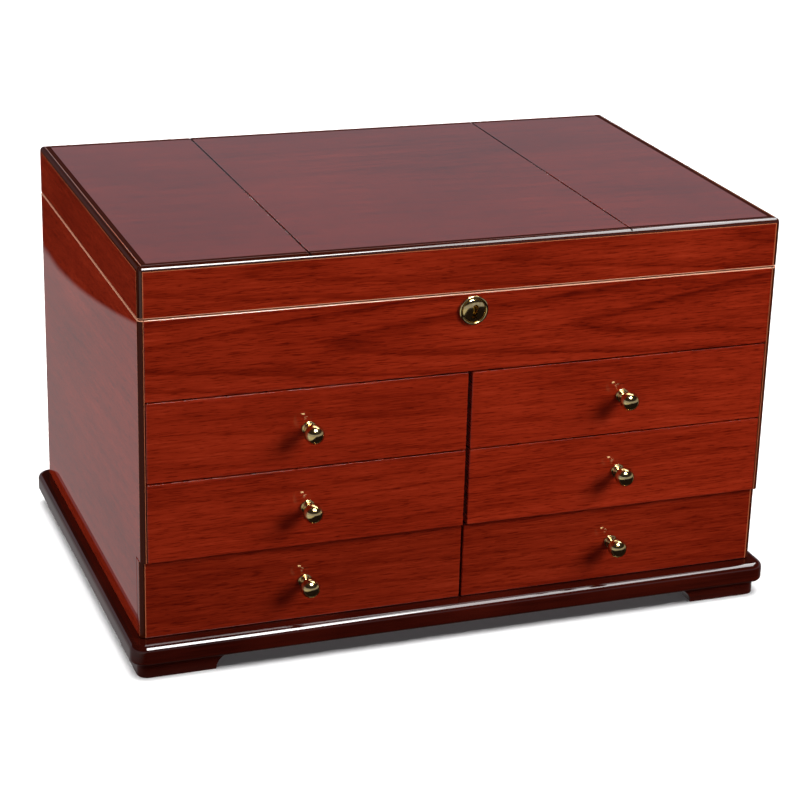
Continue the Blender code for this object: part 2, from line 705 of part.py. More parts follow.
def hinges(mats, lid):
    """Two hinges behind the case; the middle knuckle belongs to the lid's leaf and the outer two to the case's."""
    half = HINGE_WIDTH / 2
    inner = MIDDLE_KNUCKLE / 2
    middle_notch = ((-inner - FIT_GAP, inner + FIT_GAP),)
    end_notches = ((-half - PANEL, -inner), (inner, half + PANEL))
    for name, side in (("left", -1), ("right", 1)):
        at = (side * HINGE_X, HINGE_Y, SEAM)
        case_leaf = hinge_leaf(middle_notch, up=False)
        piece(f"hinge_{name}_case_leaf", case_leaf, mats["brass"], at)
        pin = cylinder(PIN_RADIUS, -half, half, "x", steps=SMALL_TURN_STEPS)
        piece(f"hinge_{name}_pin", pin, mats["brass"], at)
        lid_leaf = hinge_leaf(end_notches, up=True)
        piece(f"hinge_{name}_lid_leaf", lid_leaf, mats["brass"], at, lid)


# --- lock ------------------------------------------------------------------------------------------------------


def keyhole(low, high):
    """A cutter along Y for the keyhole: a round head, and a skirt that flares downwards, leaning a little."""
    neck = KEYHOLE_NECK_WIDTH / 2
    foot = KEYHOLE_FOOT_WIDTH / 2
    skirt = [(-neck, KEYHOLE_HEAD), (-foot, -KEYHOLE_FOOT), (foot, -KEYHOLE_FOOT), (neck, KEYHOLE_HEAD)]
    head = cylinder(KEYHOLE_RADIUS, low, high, "y", (0.0, KEYHOLE_HEAD), SMALL_TURN_STEPS)
    bm = join(head, prism(skirt, low, high, "y"))
    bmesh.ops.rotate(bm, matrix=Matrix.Rotation(math.radians(KEYHOLE_TILT), 3, "Y"), verts=bm.verts[:])
    return bm


def escutcheon(mats):
    """The domed brass plate with a rounded rim and the keyhole, and its sleeve through the compartment front."""
    back = -FIT_GAP / 2
    bead = ESCUTCHEON_BEAD
    rim = quarter_arc((ESCUTCHEON_RADIUS - bead, -ESCUTCHEON_STEP), bead, 270)
    profile = [(0.0, back), (ESCUTCHEON_RADIUS, back)]
    profile += [(radius, y) for radius, y in reversed(rim)]
    profile.append((DOME_RADIUS, -ESCUTCHEON_STEP))
    for step in range(1, ARC_STEPS):
        angle = math.pi / 2 * step / ARC_STEPS
        rise = ESCUTCHEON_STEP + (DOME_RISE - ESCUTCHEON_STEP) * math.sin(angle)
        profile.append((DOME_RADIUS * math.cos(angle), -rise))
    profile.append((0.0, -DOME_RISE))
    bore = PLUG_RADIUS + FIT_GAP / 2
    end = LOCK_FRONT - 2 * FIT_GAP
    sleeve = turned_ring([(bore, -FIT_GAP), (SLEEVE_RADIUS, -FIT_GAP), (SLEEVE_RADIUS, end), (bore, end)])
    bm = cut(join(turned(profile), sleeve), keyhole(-PANEL, 0.0))
    piece("lock_escutcheon", bm, mats["brass"], (0.0, FRONT_Y, LOCK_Z))


def lock_plug(mats):
    """The barrel behind the keyhole that the key turns, with a keyway of the keyhole's shape in its face."""
    face = FIT_GAP / 2
    bm = cylinder(PLUG_RADIUS - FIT_GAP / 2, face, BOLT_FRONT - 2 * FIT_GAP)
    bm = cut(bm, keyhole(-PANEL, face + KEYHOLE_DEPTH))
    piece("lock_plug", bm, mats["brass"], (0.0, FRONT_Y, LOCK_Z))


def lock_case(mats):
    """The lock's body in the pocket of the compartment front, open at the top for the bolt."""
    half = LOCK_CASE_WIDTH / 2
    top = CASE_TOP - FIT_GAP - LOCK_Z
    bottom = top - LOCK_CASE_HEIGHT
    bm = block((-half, LOCK_FRONT, bottom), (half, LOCK_BACK, top))
    channel_half = BOLT_WIDTH / 2 + FIT_GAP
    channel_low = top - BOLT_HEIGHT - 2 * FIT_GAP
    low = (-channel_half, BOLT_FRONT - FIT_GAP, channel_low)
    high = (channel_half, BOLT_FRONT + BOLT_THICKNESS + FIT_GAP, top + PANEL)
    bore = cylinder(PLUG_RADIUS + FIT_GAP, 0.0, BOLT_FRONT)
    piece("lock_case", cut(bm, block(low, high), bore), mats["brass"], (0.0, FRONT_Y, LOCK_Z))


def lock_bolt(mats):
    """The bolt that rises into the lid; its origin is the middle of its foot, and it is drawn back here."""
    half = BOLT_WIDTH / 2
    bm = block((-half, 0.0, 0.0), (half, BOLT_THICKNESS, BOLT_HEIGHT))
    bottom = CASE_TOP - 2 * FIT_GAP - BOLT_HEIGHT
    piece("lock_bolt", bm, mats["brass"], (0.0, FRONT_Y + BOLT_FRONT, bottom))


def lid_strike(mats, lid):
    """The slotted plate under the lid's front rail that the bolt enters."""
    half = STRIKE_WIDTH / 2
    bm = block((-half, LOCK_FRONT, 0.0), (half, LOCK_BACK, STRIKE))
    slot_half = BOLT_WIDTH / 2 + 3 * FIT_GAP
    low = (-slot_half, BOLT_FRONT - 2 * FIT_GAP, -STRIKE)
    high = (slot_half, BOLT_FRONT + BOLT_THICKNESS + 2 * FIT_GAP, 2 * STRIKE)
    piece("lid_strike", cut(bm, block(low, high)), mats["brass"], (0.0, FRONT_Y, LID_BOTTOM), lid)


# --- drawers ---------------------------------------------------------------------------------------------------


def knob_mesh():
    """A ball knob turned about Y; its base is on y = 0, the ball towards -Y and the stud inside the front."""
    profile = [(0.0, KNOB_STUD_LENGTH), (KNOB_STUD_RADIUS, KNOB_STUD_LENGTH), (KNOB_STUD_RADIUS, -FIT_GAP)]
    profile += [(radius, -height) for radius, height in KNOB_BASE]
    start = math.pi - math.asin(KNOB_NECK_RADIUS / KNOB_RADIUS)
    for step in range(BALL_STEPS):
        angle = start * (1 - step / BALL_STEPS)
        radius = KNOB_RADIUS * math.sin(angle)
        profile.append((radius, -KNOB_CENTRE - KNOB_RADIUS * math.cos(angle)))
    profile.append((0.0, -KNOB_CENTRE - KNOB_RADIUS))
    return turned(profile, KNOB_TURN_STEPS)


def drawer_front(side, row):
    """A front whose origin is the middle of its outer face, with its place across the chest and its thickness."""
    height = ROW_HEIGHT - FRONT_GAP
    if row == 3:
        inner = BOTTOM_DIVIDER_GAP / 2
        outer = HALF_WIDTH
        thickness = BOTTOM_FRONT
    else:
        inner = DIVIDER_GAP / 2
        outer = HALF_WIDTH - LIP - DRAWER_SIDE_GAP
        thickness = FRONT
    half = (outer - inner) / 2
    outline = [(-half, 0.0), (half, 0.0), (half, thickness), (-half, thickness)]
    if row == 3 and side < 0:
        outline[:1] = quarter_arc((EDGE_RADIUS - half, EDGE_RADIUS), EDGE_RADIUS, 180)
    if row == 3 and side > 0:
        outline[1:2] = quarter_arc((half - EDGE_RADIUS, EDGE_RADIUS), EDGE_RADIUS, 270)
    bm = prism(outline, -height / 2, height / 2)
    offset = side * (HALF_WIDTH / 2 - (inner + outer) / 2)
    stud_hole = cylinder(KNOB_HOLE_RADIUS, -PANEL, KNOB_STUD_LENGTH + FIT_GAP, "y", (offset, 0.0), SMALL_TURN_STEPS)
    return cut(bm, stud_hole), side * (inner + outer) / 2, thickness


def drawer(side, row, meshes, mats):
    """One drawer: front, box, lining and knob, on an empty at the middle of its front."""
    column = "left" if side < 0 else "right"
    label = f"drawer_{column}_{row}"
    middle_z = level(row) - ROW_HEIGHT / 2
    face_y = FRONT_Y + (BOTTOM_RECESS if row == 3 else 0.0)
    bm, middle_x, thickness = drawer_front(side, row)
    frame = empty(label, (middle_x, face_y, middle_z))
    piece(f"{label}_front", bm, mats["veneer"], (middle_x, face_y, middle_z), frame)
    support = FLOOR_TOP if row == 3 else level(row + 1) + SHELF / 2
    box_x = side * (DIVIDER / 2 + INNER_HALF) / 2
    box_y = face_y + thickness + FIT_GAP
    at = (box_x, box_y, support + RUN_GAP)
    box = piece(f"{label}_box", meshes["box"], mats["carcase"], at, frame)
    at = (box_x, box_y + BOX_WALL + FIT_GAP, support + RUN_GAP + BOX_FLOOR + FIT_GAP)
    lining = piece(f"{label}_lining", meshes["lining"], mats["velvet"], at, frame)
    knob_x = side * HALF_WIDTH / 2
    knob = piece(f"{label}_knob", meshes["knob"], mats["brass"], (knob_x, face_y, middle_z), frame)
    return {"box": box.data, "lining": lining.data, "knob": knob.data}


def drawers(mats):
    """Six drawers; the boxes, linings and knobs are the same in every one and share their meshes."""
    half = (INNER_HALF - DIVIDER / 2) / 2 - RUN_GAP
    inside = half - BOX_WALL - FIT_GAP
    inside_length = BOX_LENGTH - 2 * (BOX_WALL + FIT_GAP)
    meshes = {
        "box": tray(half, BOX_LENGTH, BOX_HEIGHT, BOX_WALL, BOX_FLOOR),
        "lining": block((-inside, 0.0, 0.0), (inside, inside_length, LINING)),
        "knob": knob_mesh(),
    }
    for row in (1, 2, 3):
        for side in (-1, 1):
            meshes = drawer(side, row, meshes, mats)


def main():
    remove_objects()
    mats = make_materials()
    plinth(mats)
    feet(mats)
    side_panel("side_panel_left", -1, mats)
    side_panel("side_panel_right", 1, mats)
    back_panel(mats)
    case_floor(mats)
    centre_divider(mats)
    shelf("shelf_upper", 2, CARCASE_Y, mats)
    shelf("shelf_lower", 3, CARCASE_BOTTOM_Y, mats)
    compartment_floor(mats)
    compartment_front(mats)
    compartment_liner(mats)
    ring_rolls(mats)
    partition(mats)
    lid = empty("lid", (0.0, HINGE_Y, SEAM))
    lid_rails(mats, lid)
    lid_top_panel(mats, lid)
    mirror_and_surround(mats, lid)
    hinges(mats, lid)
    escutcheon(mats)
    lock_plug(mats)
    lock_case(mats)
    lock_bolt(mats)
    lid_strike(mats, lid)
    drawers(mats)


main()
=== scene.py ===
"""Looks for the jewellery chest.

Lacquered mahogany veneer, a dark moulded base, brass fittings and a velvet inside.
Metres, +Z up, the front faces -Y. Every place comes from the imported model's nodes.
"""

import math

import bmesh
import bpy
import numpy as np
from mathutils import Matrix, Vector, noise


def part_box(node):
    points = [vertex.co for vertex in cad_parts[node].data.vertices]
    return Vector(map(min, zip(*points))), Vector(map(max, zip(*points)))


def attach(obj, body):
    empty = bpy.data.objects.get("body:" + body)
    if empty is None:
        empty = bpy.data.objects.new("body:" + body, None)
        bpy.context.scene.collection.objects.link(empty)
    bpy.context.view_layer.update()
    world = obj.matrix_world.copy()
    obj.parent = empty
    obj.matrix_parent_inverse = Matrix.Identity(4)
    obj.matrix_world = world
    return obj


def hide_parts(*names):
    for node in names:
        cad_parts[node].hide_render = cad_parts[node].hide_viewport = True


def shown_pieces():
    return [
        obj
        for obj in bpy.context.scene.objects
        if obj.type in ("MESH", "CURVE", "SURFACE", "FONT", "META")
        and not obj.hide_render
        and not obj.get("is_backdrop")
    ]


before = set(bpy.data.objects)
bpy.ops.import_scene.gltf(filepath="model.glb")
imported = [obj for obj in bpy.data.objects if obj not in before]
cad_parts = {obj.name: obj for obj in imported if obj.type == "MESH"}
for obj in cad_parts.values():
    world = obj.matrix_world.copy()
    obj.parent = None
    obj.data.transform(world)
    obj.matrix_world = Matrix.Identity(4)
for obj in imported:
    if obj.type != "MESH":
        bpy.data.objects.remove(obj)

# --- camera -------------------------------------------------------------------------------------------
CAMERA_PLACE = Vector((-0.51626, -1.42177, 0.69007))
CAMERA_YAW = 22.203  # degrees from +Y towards +X
CAMERA_PITCH = 20.790  # degrees downwards
CAMERA_ROLL = 2.369
CAMERA_LENS = 104.085
CAMERA_SHIFT = -0.1

# --- lights: place, size and radiance -----------------------------------------------------------------
MATT_LIGHTS = (
    ("key", (1.60, -1.45, 1.35), (1.2, 1.2), 22.0),
    ("side_fill", (-1.90, -0.10, 1.10), (1.2, 1.2), 9.8),
    ("back_fill", (0.60, 2.20, 1.30), (1.6, 1.2), 4.0),
    ("right_fill", (2.20, 0.30, 1.20), (1.2, 1.2), 3.0),
)
BRASS_LIGHT = ("brass_window", (0.03, -0.67, 1.34), (0.55, 0.50), 24.0)
OVERHEAD_LIGHTS = (  # level, facing down, each turned by the last number of degrees about the upright
    ("lacquer_window_left", (0.20, -1.40, 1.4), (0.60, 1.5), 34.0, 0.0),
    ("lacquer_window_right", (0.82, -0.07, 1.4), (2.5, 0.72), 10.5, 66.5),
)
LIT_MIDDLE = (0.0, 0.0, 0.13)  # what the lights face
WASH_HEIGHT = 3.0  # the light over the floor
WASH_SIZE = 4.0
WASH_RADIANCE = 6.0
WASH_Y = -0.2
FLOOR_REACH = 6.0
FLOOR_GLOW = 0.028
FLOOR_TONES = ((0.3, (0.90, 0.90, 0.90)), (0.7, (0.92, 0.92, 0.92)))
ROOM_LOW = (0.345, 0.340, 0.385)  # the room round the horizon
ROOM_HIGH = (0.022, 0.016, 0.015)
ROOM_RISE = (0.3030, 0.3055)  # sine of the elevation where one turns into the other

# --- the table that the lacquer mirrors ---------------------------------------------------------------
TABLE_REACH = 3.0
TABLE_DROP = 0.0005  # below the feet
TABLE_COLOUR = (0.325, 0.320, 0.325)
TABLE_NEAR_COLOUR = (0.55, 0.54, 0.50)
TABLE_NEAR_END = (-0.24, -0.12)  # y where the brighter near part fades out
TABLE_DARK = (0.010, 0.006, 0.005)
TABLE_EDGE = (-0.956, 0.73)  # middle of the round dark place beyond the table's edge
TABLE_EDGE_RADIUS = 0.62
TABLE_EDGE_BLUR = 0.004
TABLE_LIT_LEFT = (-0.27, -0.22)  # x from which the lit part fades out
TABLE_LIT_BEHIND = (-0.16, -0.10)  # y from which it fades in

# --- edges --------------------------------------------------------------------------------------------
WELD = 0.00001
FLAT = math.radians(1)
CREASE = math.radians(30)
EDGE_BAND = 0.0030  # the dark lacquered edging round the veneer
EDGE_LINE = 0.0005  # the pale line where the veneer begins
TOP_BAND = 0.0068  # the edging round the lid's top
SEAM_LINE = 0.0010
GROOVE_RIM = 0.0005  # how far down the grooves' walls the top's own colour reaches
HAIR = 0.0001

# --- how far the edges are rounded --------------------------------------------------------------------
RIM_ROUND = 0.0014  # the case's top edge
COMPARTMENT_SHARE = 0.5  # of that, on the compartment front's other edges
SIDE_SHARE = 0.3  # and on the side panels' other edges
BACK_ROUND = 0.0003
BASE_ROUND = 0.0008
BOARD_ROUND = 0.0004
SEAM_ROUND = 0.0006
TOP_ROUND = 0.0003
TOP_INSET = 0.001  # keeps the rounding inside the top panel's outline, where it meets the rails
DRAWER_ROUND = 0.0015
METAL_ROUND = 0.00015
LINER_ROUND = 0.0005
PARTITION_ROUND = 0.0014
MIRROR_BEVEL = 0.0010
ROUND_STEPS = 3
NORMAL_WEIGHT = 100
EVERYWHERE = ((-1.0, -1.0, -1.0), (1.0, 1.0, 1.0))

# --- turned brass -------------------------------------------------------------------------------------
TURN_STEPS = 64
BALL_STEPS = 28
DOME_STEPS = 14
KNOB_RADIUS = 0.00635
KNOB_CENTRE = 0.012  # from the front's face to the middle of the ball
KNOB_NECK = 0.0019
KNOB_FOOT = 0.0046
# The knob's base, from its rim to its cove, bead and flare: each arc's middle (from the axis, along it), radius,
# first degree and last degree
KNOB_TURNINGS = (
    ((KNOB_FOOT - 0.0004, -0.0007), 0.0004, 0, -90),
    ((0.0042, -0.0019), 0.0008, 90, 180),
    ((0.0030, -0.0023), 0.0004, 80, -80),
    ((0.0034, -0.0040), 0.0015, 120, 180),
)
KNOB_TURNING_STEPS = (4, 4, 6, 5)
KNOB_CREASE = math.radians(50)
BEAD_END = -150  # degrees: how far round the escutcheon's rim is rolled
BEAD_STEPS = 10
ESCUTCHEON_RADIUS = 0.0097
ESCUTCHEON_BEAD = 0.0009
SLEEVE_RADIUS = 0.0060
SLEEVE_BORE = 0.00425
DOME_RADIUS = 0.0078
DOME_FOOT = 0.0009  # where the dome rises from, in front of the veneer
DOME_RISE = 0.0025
KEYHOLE_RADIUS = 0.0018
KEYHOLE_HEAD = 0.0025  # how far the keyhole's round head stands above the middle of the dome
KEYHOLE_FOOT = 0.0052  # how far its flared skirt reaches below the middle
KEYHOLE_FOOT_HALF = 0.0018
KEYHOLE_TILT = 8  # degrees that it leans to the right at its top
KEYHOLE_ARC = (-55, 235, 20)  # the round head's first and last degree, and its steps
KEYHOLE_DEPTHS = ((-0.010, 1.60), (-0.0015, 0.90), (0.006, 0.90))  # places along it, and its scale there

SCREW_RADIUS = 0.0019
SCREW_RISE = 0.0005
SCREW_INSET = 0.0028
SCREW_STEPS = 24
SCREW_TURN = 23  # degrees between one slot and the next
SCREW_SHARES = (0.2, 0.8)  # places along a hinge leaf
SCREW_REACH = 0.33  # from a leaf's free edge, as a share of its height
HINGE_LEAF = 0.0012  # its thickness

# --- velvet -------------------------------------------------------------------------------------------
ROLL_COUNT = 6
ROLL_SLOT = 0.0025
ROLL_BASE = 0.006
ROLL_SWELL = 0.0016  # how far the rolls may swell when they are filled
ROLL_STEPS = 28
ROLL_VOXEL = 0.0032
ROLL_PRESSURE = 4.0
ROLL_FLAT = -0.08  # how far below its middle a roll is cut off flat, as a share of its height
ROLL_ENDS = (  # places along a roll, and how thick it is there
    (0.0, 0.55), (0.002, 0.85), (0.006, 1.0), (0.35, 1.0),
    (0.65, 1.0), (0.994, 1.0), (0.998, 0.85), (1.0, 0.55),
)
ROLL_BASE_ROUND = 0.0012
CLOTH_QUALITY = 5
CLOTH_FRAMES = 20
PAD_ROLL = 0.003
PAD_CROWN = 0.0010
PAD_STEPS = (40, 48)
PAD_HOLLOW = 0.5  # the hollows' depth, as a share of the crown
PAD_HOLLOW_SCALE = 26  # hollows in a metre
PAD_SEED = 50
PAD_CREASE = math.radians(70)
SURROUND_WIDTH = 0.012
SURROUND_CROWN = 0.7  # below 1 makes the section fuller than half an ellipse
SURROUND_SLOPE = 0.35  # how much lower its inner side is
SURROUND_CREASE = math.radians(60)
SECTION_STEPS = 12
CORNER_RADIUS = 0.002
CORNER_STEPS = 4

# --- the case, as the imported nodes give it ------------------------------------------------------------
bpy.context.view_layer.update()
RAIL_LOW, RAIL_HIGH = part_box("lid_rail_front")
LEFT_LOW, LEFT_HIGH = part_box("side_panel_left")
HALF_WIDTH = -LEFT_LOW.x
CASE_FRONT = LEFT_LOW.y
CASE_BACK = LEFT_HIGH.y
LID_TOP = RAIL_HIGH.z
LID_BOTTOM = RAIL_LOW.z
SEAM = (LEFT_HIGH.z + LID_BOTTOM) / 2
DRAWERS = [f"drawer_{side}_{row}" for row in (1, 2, 3) for side in ("left", "right")]


# --- node trees ---------------------------------------------------------------------------------------


class Graph:
    """A node tree built by short calls, which take a socket or a plain value for each input."""

    def __init__(self, tree):
        self.tree = tree
        tree.nodes.clear()

    def node(self, kind, inputs=(), **settings):
        made = self.tree.nodes.new(kind)
        for name, value in settings.items():
            setattr(made, name, value)
        for key, value in dict(inputs).items():
            self.feed(made.inputs[key], value)
        return made

    def feed(self, socket, value):
        if isinstance(value, bpy.types.NodeSocket):
            self.tree.links.new(value, socket)
        elif isinstance(value, (tuple, list)) and len(value) == 3 and socket.type == "RGBA":
            socket.default_value = (*value, 1.0)
        else:
            socket.default_value = value

    def math(self, operation, a, b=0.0, c=0.0):
        return self.node("ShaderNodeMath", {0: a, 1: b, 2: c}, operation=operation).outputs[0]

    def compare(self, operation, a, b):
        return self.node("FunctionNodeCompare", {0: a, 1: b}, operation=operation).outputs[0]

    def split(self, vector):
        made = self.node("ShaderNodeSeparateXYZ", {0: vector})
        return made.outputs[0], made.outputs[1], made.outputs[2]

    def join(self, x, y, z):
        return self.node("ShaderNodeCombineXYZ", {0: x, 1: y, 2: z}).outputs[0]

    def stretch(self, vector, scale, shift=(0.0, 0.0, 0.0)):
        made = self.node("ShaderNodeMapping", {"Vector": vector, "Scale": scale, "Location": shift})
        return made.outputs[0]

    def noise(self, vector, scale=1.0, detail=2.0, roughness=0.5):
        inputs = {"Vector": vector, "Scale": scale, "Detail": detail, "Roughness": roughness}
        return self.node("ShaderNodeTexNoise", inputs).outputs[0]

    def ramp(self, value, stops):
        """Colours, or greys, at places from 0 to 1."""
        made = self.node("ShaderNodeValToRGB", {0: value})
        elements = made.color_ramp.elements
        while len(elements) < len(stops):
            elements.new(1.0)
        for element, (place, colour) in zip(elements, stops):
            element.position = place
            grey = not isinstance(colour, tuple)
            element.color = (colour, colour, colour, 1.0) if grey else (*colour, 1.0)
        return made.outputs[0]

    def fit(self, value, low, high, to_low=0.0, to_high=1.0):
        inputs = {0: value, 1: low, 2: high, 3: to_low, 4: to_high}
        return self.node("ShaderNodeMapRange", inputs, interpolation_type="SMOOTHSTEP").outputs[0]

    def mix(self, share, a, b, blend="MIX"):
        inputs = {0: share, 6: a, 7: b}
        return self.node("ShaderNodeMix", inputs, data_type="RGBA", blend_type=blend).outputs[2]

    def bump(self, height, strength, distance, normal=None):
        made = self.node("ShaderNodeBump", {"Height": height, "Strength": strength, "Distance": distance})
        if normal is not None:
            self.feed(made.inputs["Normal"], normal)
        return made.outputs[0]

    def place(self):
        return self.node("ShaderNodeTexCoord").outputs["Object"]


def new_material(name):
    mat = bpy.data.materials.new(name)
    mat.use_nodes = True
    return mat, Graph(mat.node_tree)


def finish_material(graph, inputs):
    shader = graph.node("ShaderNodeBsdfPrincipled", inputs)
    graph.node("ShaderNodeOutputMaterial", {"Surface": shader.outputs[0]})


# --- wood ---------------------------------------------------------------------------------------------

VENEER_TONES = ((0.0, (0.062, 0.0030, 0.0010)), (0.35, (0.136, 0.0080, 0.0022)),
                (0.65, (0.212, 0.0152, 0.0044)), (1.0, (0.320, 0.0310, 0.0105)))
CARCASE_TONES = ((0.1, (0.085, 0.022, 0.009)), (0.5, (0.160, 0.048, 0.021)), (0.9, (0.230, 0.082, 0.038)))
MOULDING_TONES = ((0.25, (0.010, 0.0009, 0.0004)), (0.75, (0.042, 0.0040, 0.0018)))
BAND_COLOUR = (0.030, 0.0042, 0.0012)
LINE_COLOUR = (0.340, 0.095, 0.040)
# the pale seam line: the veneer's bare edge, brightened as a painted highlight on the seam's rounded edges
SEAM_EDGE_AND_HIGHLIGHT = (0.520, 0.235, 0.140)
# painted reflection: the grooves in the lid's top are painted the pale grey-mauve sheen that the top reflects
GROOVE_PAINTED_REFLECTION = (0.110, 0.062, 0.058)
LACQUER = {"Specular IOR Level": 0.0, "Coat Roughness": 0.012, "Coat IOR": 1.5}
BAND_GLOSS = 0.25  # how much of the lacquer's gloss the edging keeps
TOP_BAND_GLOSS = 0.08  # and on the lid's top
VENEER_WAVES = 14.0  # waves of the lacquer in a metre
VENEER_WAVE_BUMP = (0.03, 0.0006)  # a bump's strength and height
MOULDING_WAVES = 30.0
MOULDING_WAVE_BUMP = (0.12, 0.0004)
PORE_BUMP = (0.25, 0.00008)
CARCASE_BUMP = (0.25, 0.0002)
VENEER_ROUGHNESS = (0.36, 0.50)  # of the dark grain and the pale
CARCASE_ROUGHNESS = (0.42, 0.58)
MOULDING_ROUGHNESS = (0.30, 0.45)
MOULDING_STREAKS = (18.0, 18.0, 420.0)  # repeats in a metre
MOULDING_CLOUDS = 22.0
PLAIN_FIGURE = 0.12

# The grain: repeats in a metre along and across it, and how much each part counts for
DRIFT = (2.6, 12.0, 1.0)
RIPPLE = (20.0, 90.0, 1.0)
BANDS = (3.5, 70.0, 1.0)
STREAKS = (36.0, 700.0, 1.0)
PORES = (110.0, 1500.0, 1.0)
CLOUDS = (9.0, 20.0, 1.0)
DRIFT_SWAY = 0.030
RIPPLE_SWAY = 0.0040
MEAN_SWAY = 0.0170
BANDS_WEIGHT = 0.46
STREAKS_WEIGHT = 0.90
CLOUDS_WEIGHT = 0.50
PORES_WEIGHT = -0.30
GRAIN_START = -0.36
PORE_EDGE = (0.54, 0.68)
RING = 0.0109  # between one ring line and the next, and how deep the pith lies under the tip of an arch
LOG_TAPER = 0.066
RING_PROFILE = ((0.0, 1.0), (0.09, 0.10), (0.50, 0.0), (0.80, 0.35), (1.0, 1.0))

# Each board's veneer: the axes along and across the grain, the seed, where one arch has its tip along and
# across, the tone, and how dark the ring lines are
BOARDS = {
    "compartment": ("xz", 1.7, (-0.09, 0.214), 1.0, 0.32),
    "side_panel_left": ("yz", 3.1, (0.0, 0.45), 1.0, 0.08),
    "side_panel_right": ("yz", 4.6, (0.0, 0.45), 1.0, 0.08),
    "back": ("xz", 5.9, (-0.15, 0.11), 1.0, 0.20),
    # painted shade: the lid's front and top are toned darker (0.95 and 0.66), the top as if it took less light
    # than the front
    "lid_front": ("xz", 9.4, (0.02, 0.262), 0.95, 0.22),
    "lid_sides": ("yz", 10.8, (0.0, 0.50), 0.90, 0.08),
    "lid_top": ("xy", 12.2, (-0.15, 0.02), 0.66, PLAIN_FIGURE),
}
# painted shade: the bottom row's veneer is toned darker (0.78), as if less light reached the front low down
DRAWER_TONES = {"1": 1.0, "2": 0.97, "3": 0.78}  # by row
DRAWER_SEED = 20.0
DRAWER_SEED_STEP = 1.9
DRAWER_ARCH = 0.05  # how far above or below a drawer's middle its figure has its arch
CARCASE_ARCH = (0.3, 0.02)
CARCASE_FIGURE = 0.2
BOARDS_SEED = 7.3
DIVIDER_SEED = 8.1
BOX_SEED = 40.0
BOX_SEED_STEP = 1.3


def grain(graph, along, across, seed, tip, figure):
    """A value from 0 for the darkest grain to 1 for the palest wood, and a mask of the open pores.

    The rings are those of a log that tapers, sawn beside its pith: straight far from the pith, and above it in
    long arches that point the way the log narrows. tip is where one arch has its tip, along and across the
    grain, and figure is how dark the ring lines are.
    """
    plane = graph.join(along, across, seed)
    drift = graph.noise(graph.stretch(plane, DRIFT), detail=2.0)
    ripple = graph.noise(graph.stretch(plane, RIPPLE), detail=3.0)
    sway = graph.math("ADD", graph.math("MULTIPLY", drift, DRIFT_SWAY),
                      graph.math("MULTIPLY", ripple, RIPPLE_SWAY))
    shift = graph.math("SUBTRACT", sway, MEAN_SWAY)
    offset = graph.math("ADD", graph.math("SUBTRACT", across, tip[1]), shift)
    reach = graph.math("SQRT", graph.math("MULTIPLY_ADD", offset, offset, RING * RING))
    taper = graph.math("MULTIPLY", graph.math("SUBTRACT", along, tip[0]), -LOG_TAPER)
    ring = graph.math("FRACT", graph.math("MULTIPLY", graph.math("ADD", reach, taper), 1.0 / RING))
    line = graph.ramp(ring, RING_PROFILE)
    bands = graph.noise(graph.stretch(plane, BANDS, (5.0, 0.0, 0.0)), detail=4.0, roughness=0.6)
    streaks = graph.noise(graph.stretch(plane, STREAKS), detail=3.0, roughness=0.7)
    dashes = graph.noise(graph.stretch(plane, PORES, (0.0, 3.0, 0.0)), detail=2.0)
    clouds = graph.noise(graph.stretch(plane, CLOUDS, (9.0, 0.0, 0.0)), detail=3.0)
    value = graph.math("MULTIPLY_ADD", line, -figure, GRAIN_START)
    for part, weight in ((bands, BANDS_WEIGHT), (streaks, STREAKS_WEIGHT), (clouds, CLOUDS_WEIGHT)):
        value = graph.math("MULTIPLY_ADD", part, weight, value)
    pores = graph.fit(dashes, *PORE_EDGE)
    return graph.math("MULTIPLY_ADD", pores, PORES_WEIGHT, value), pores


def depths(graph, x, y, front):
    """How far a point is inside the nearer side of the case, and the nearer of its front and back."""
    side = graph.math("SUBTRACT", HALF_WIDTH, graph.math("ABSOLUTE", x))
    before = graph.math("SUBTRACT", y, front)
    behind = graph.math("SUBTRACT", CASE_BACK, y)
    return side, graph.math("MINIMUM", before, behind)


def edge_distance(graph, side, depth, z):
    """How far a point on the outside is from the nearest edge: the middle one of its three depths."""
    top = graph.math("SUBTRACT", LID_TOP, z)
    lesser = graph.math("MINIMUM", side, depth)
    greater = graph.math("MAXIMUM", side, depth)
    return graph.math("MAXIMUM", lesser, graph.math("MINIMUM", greater, top))


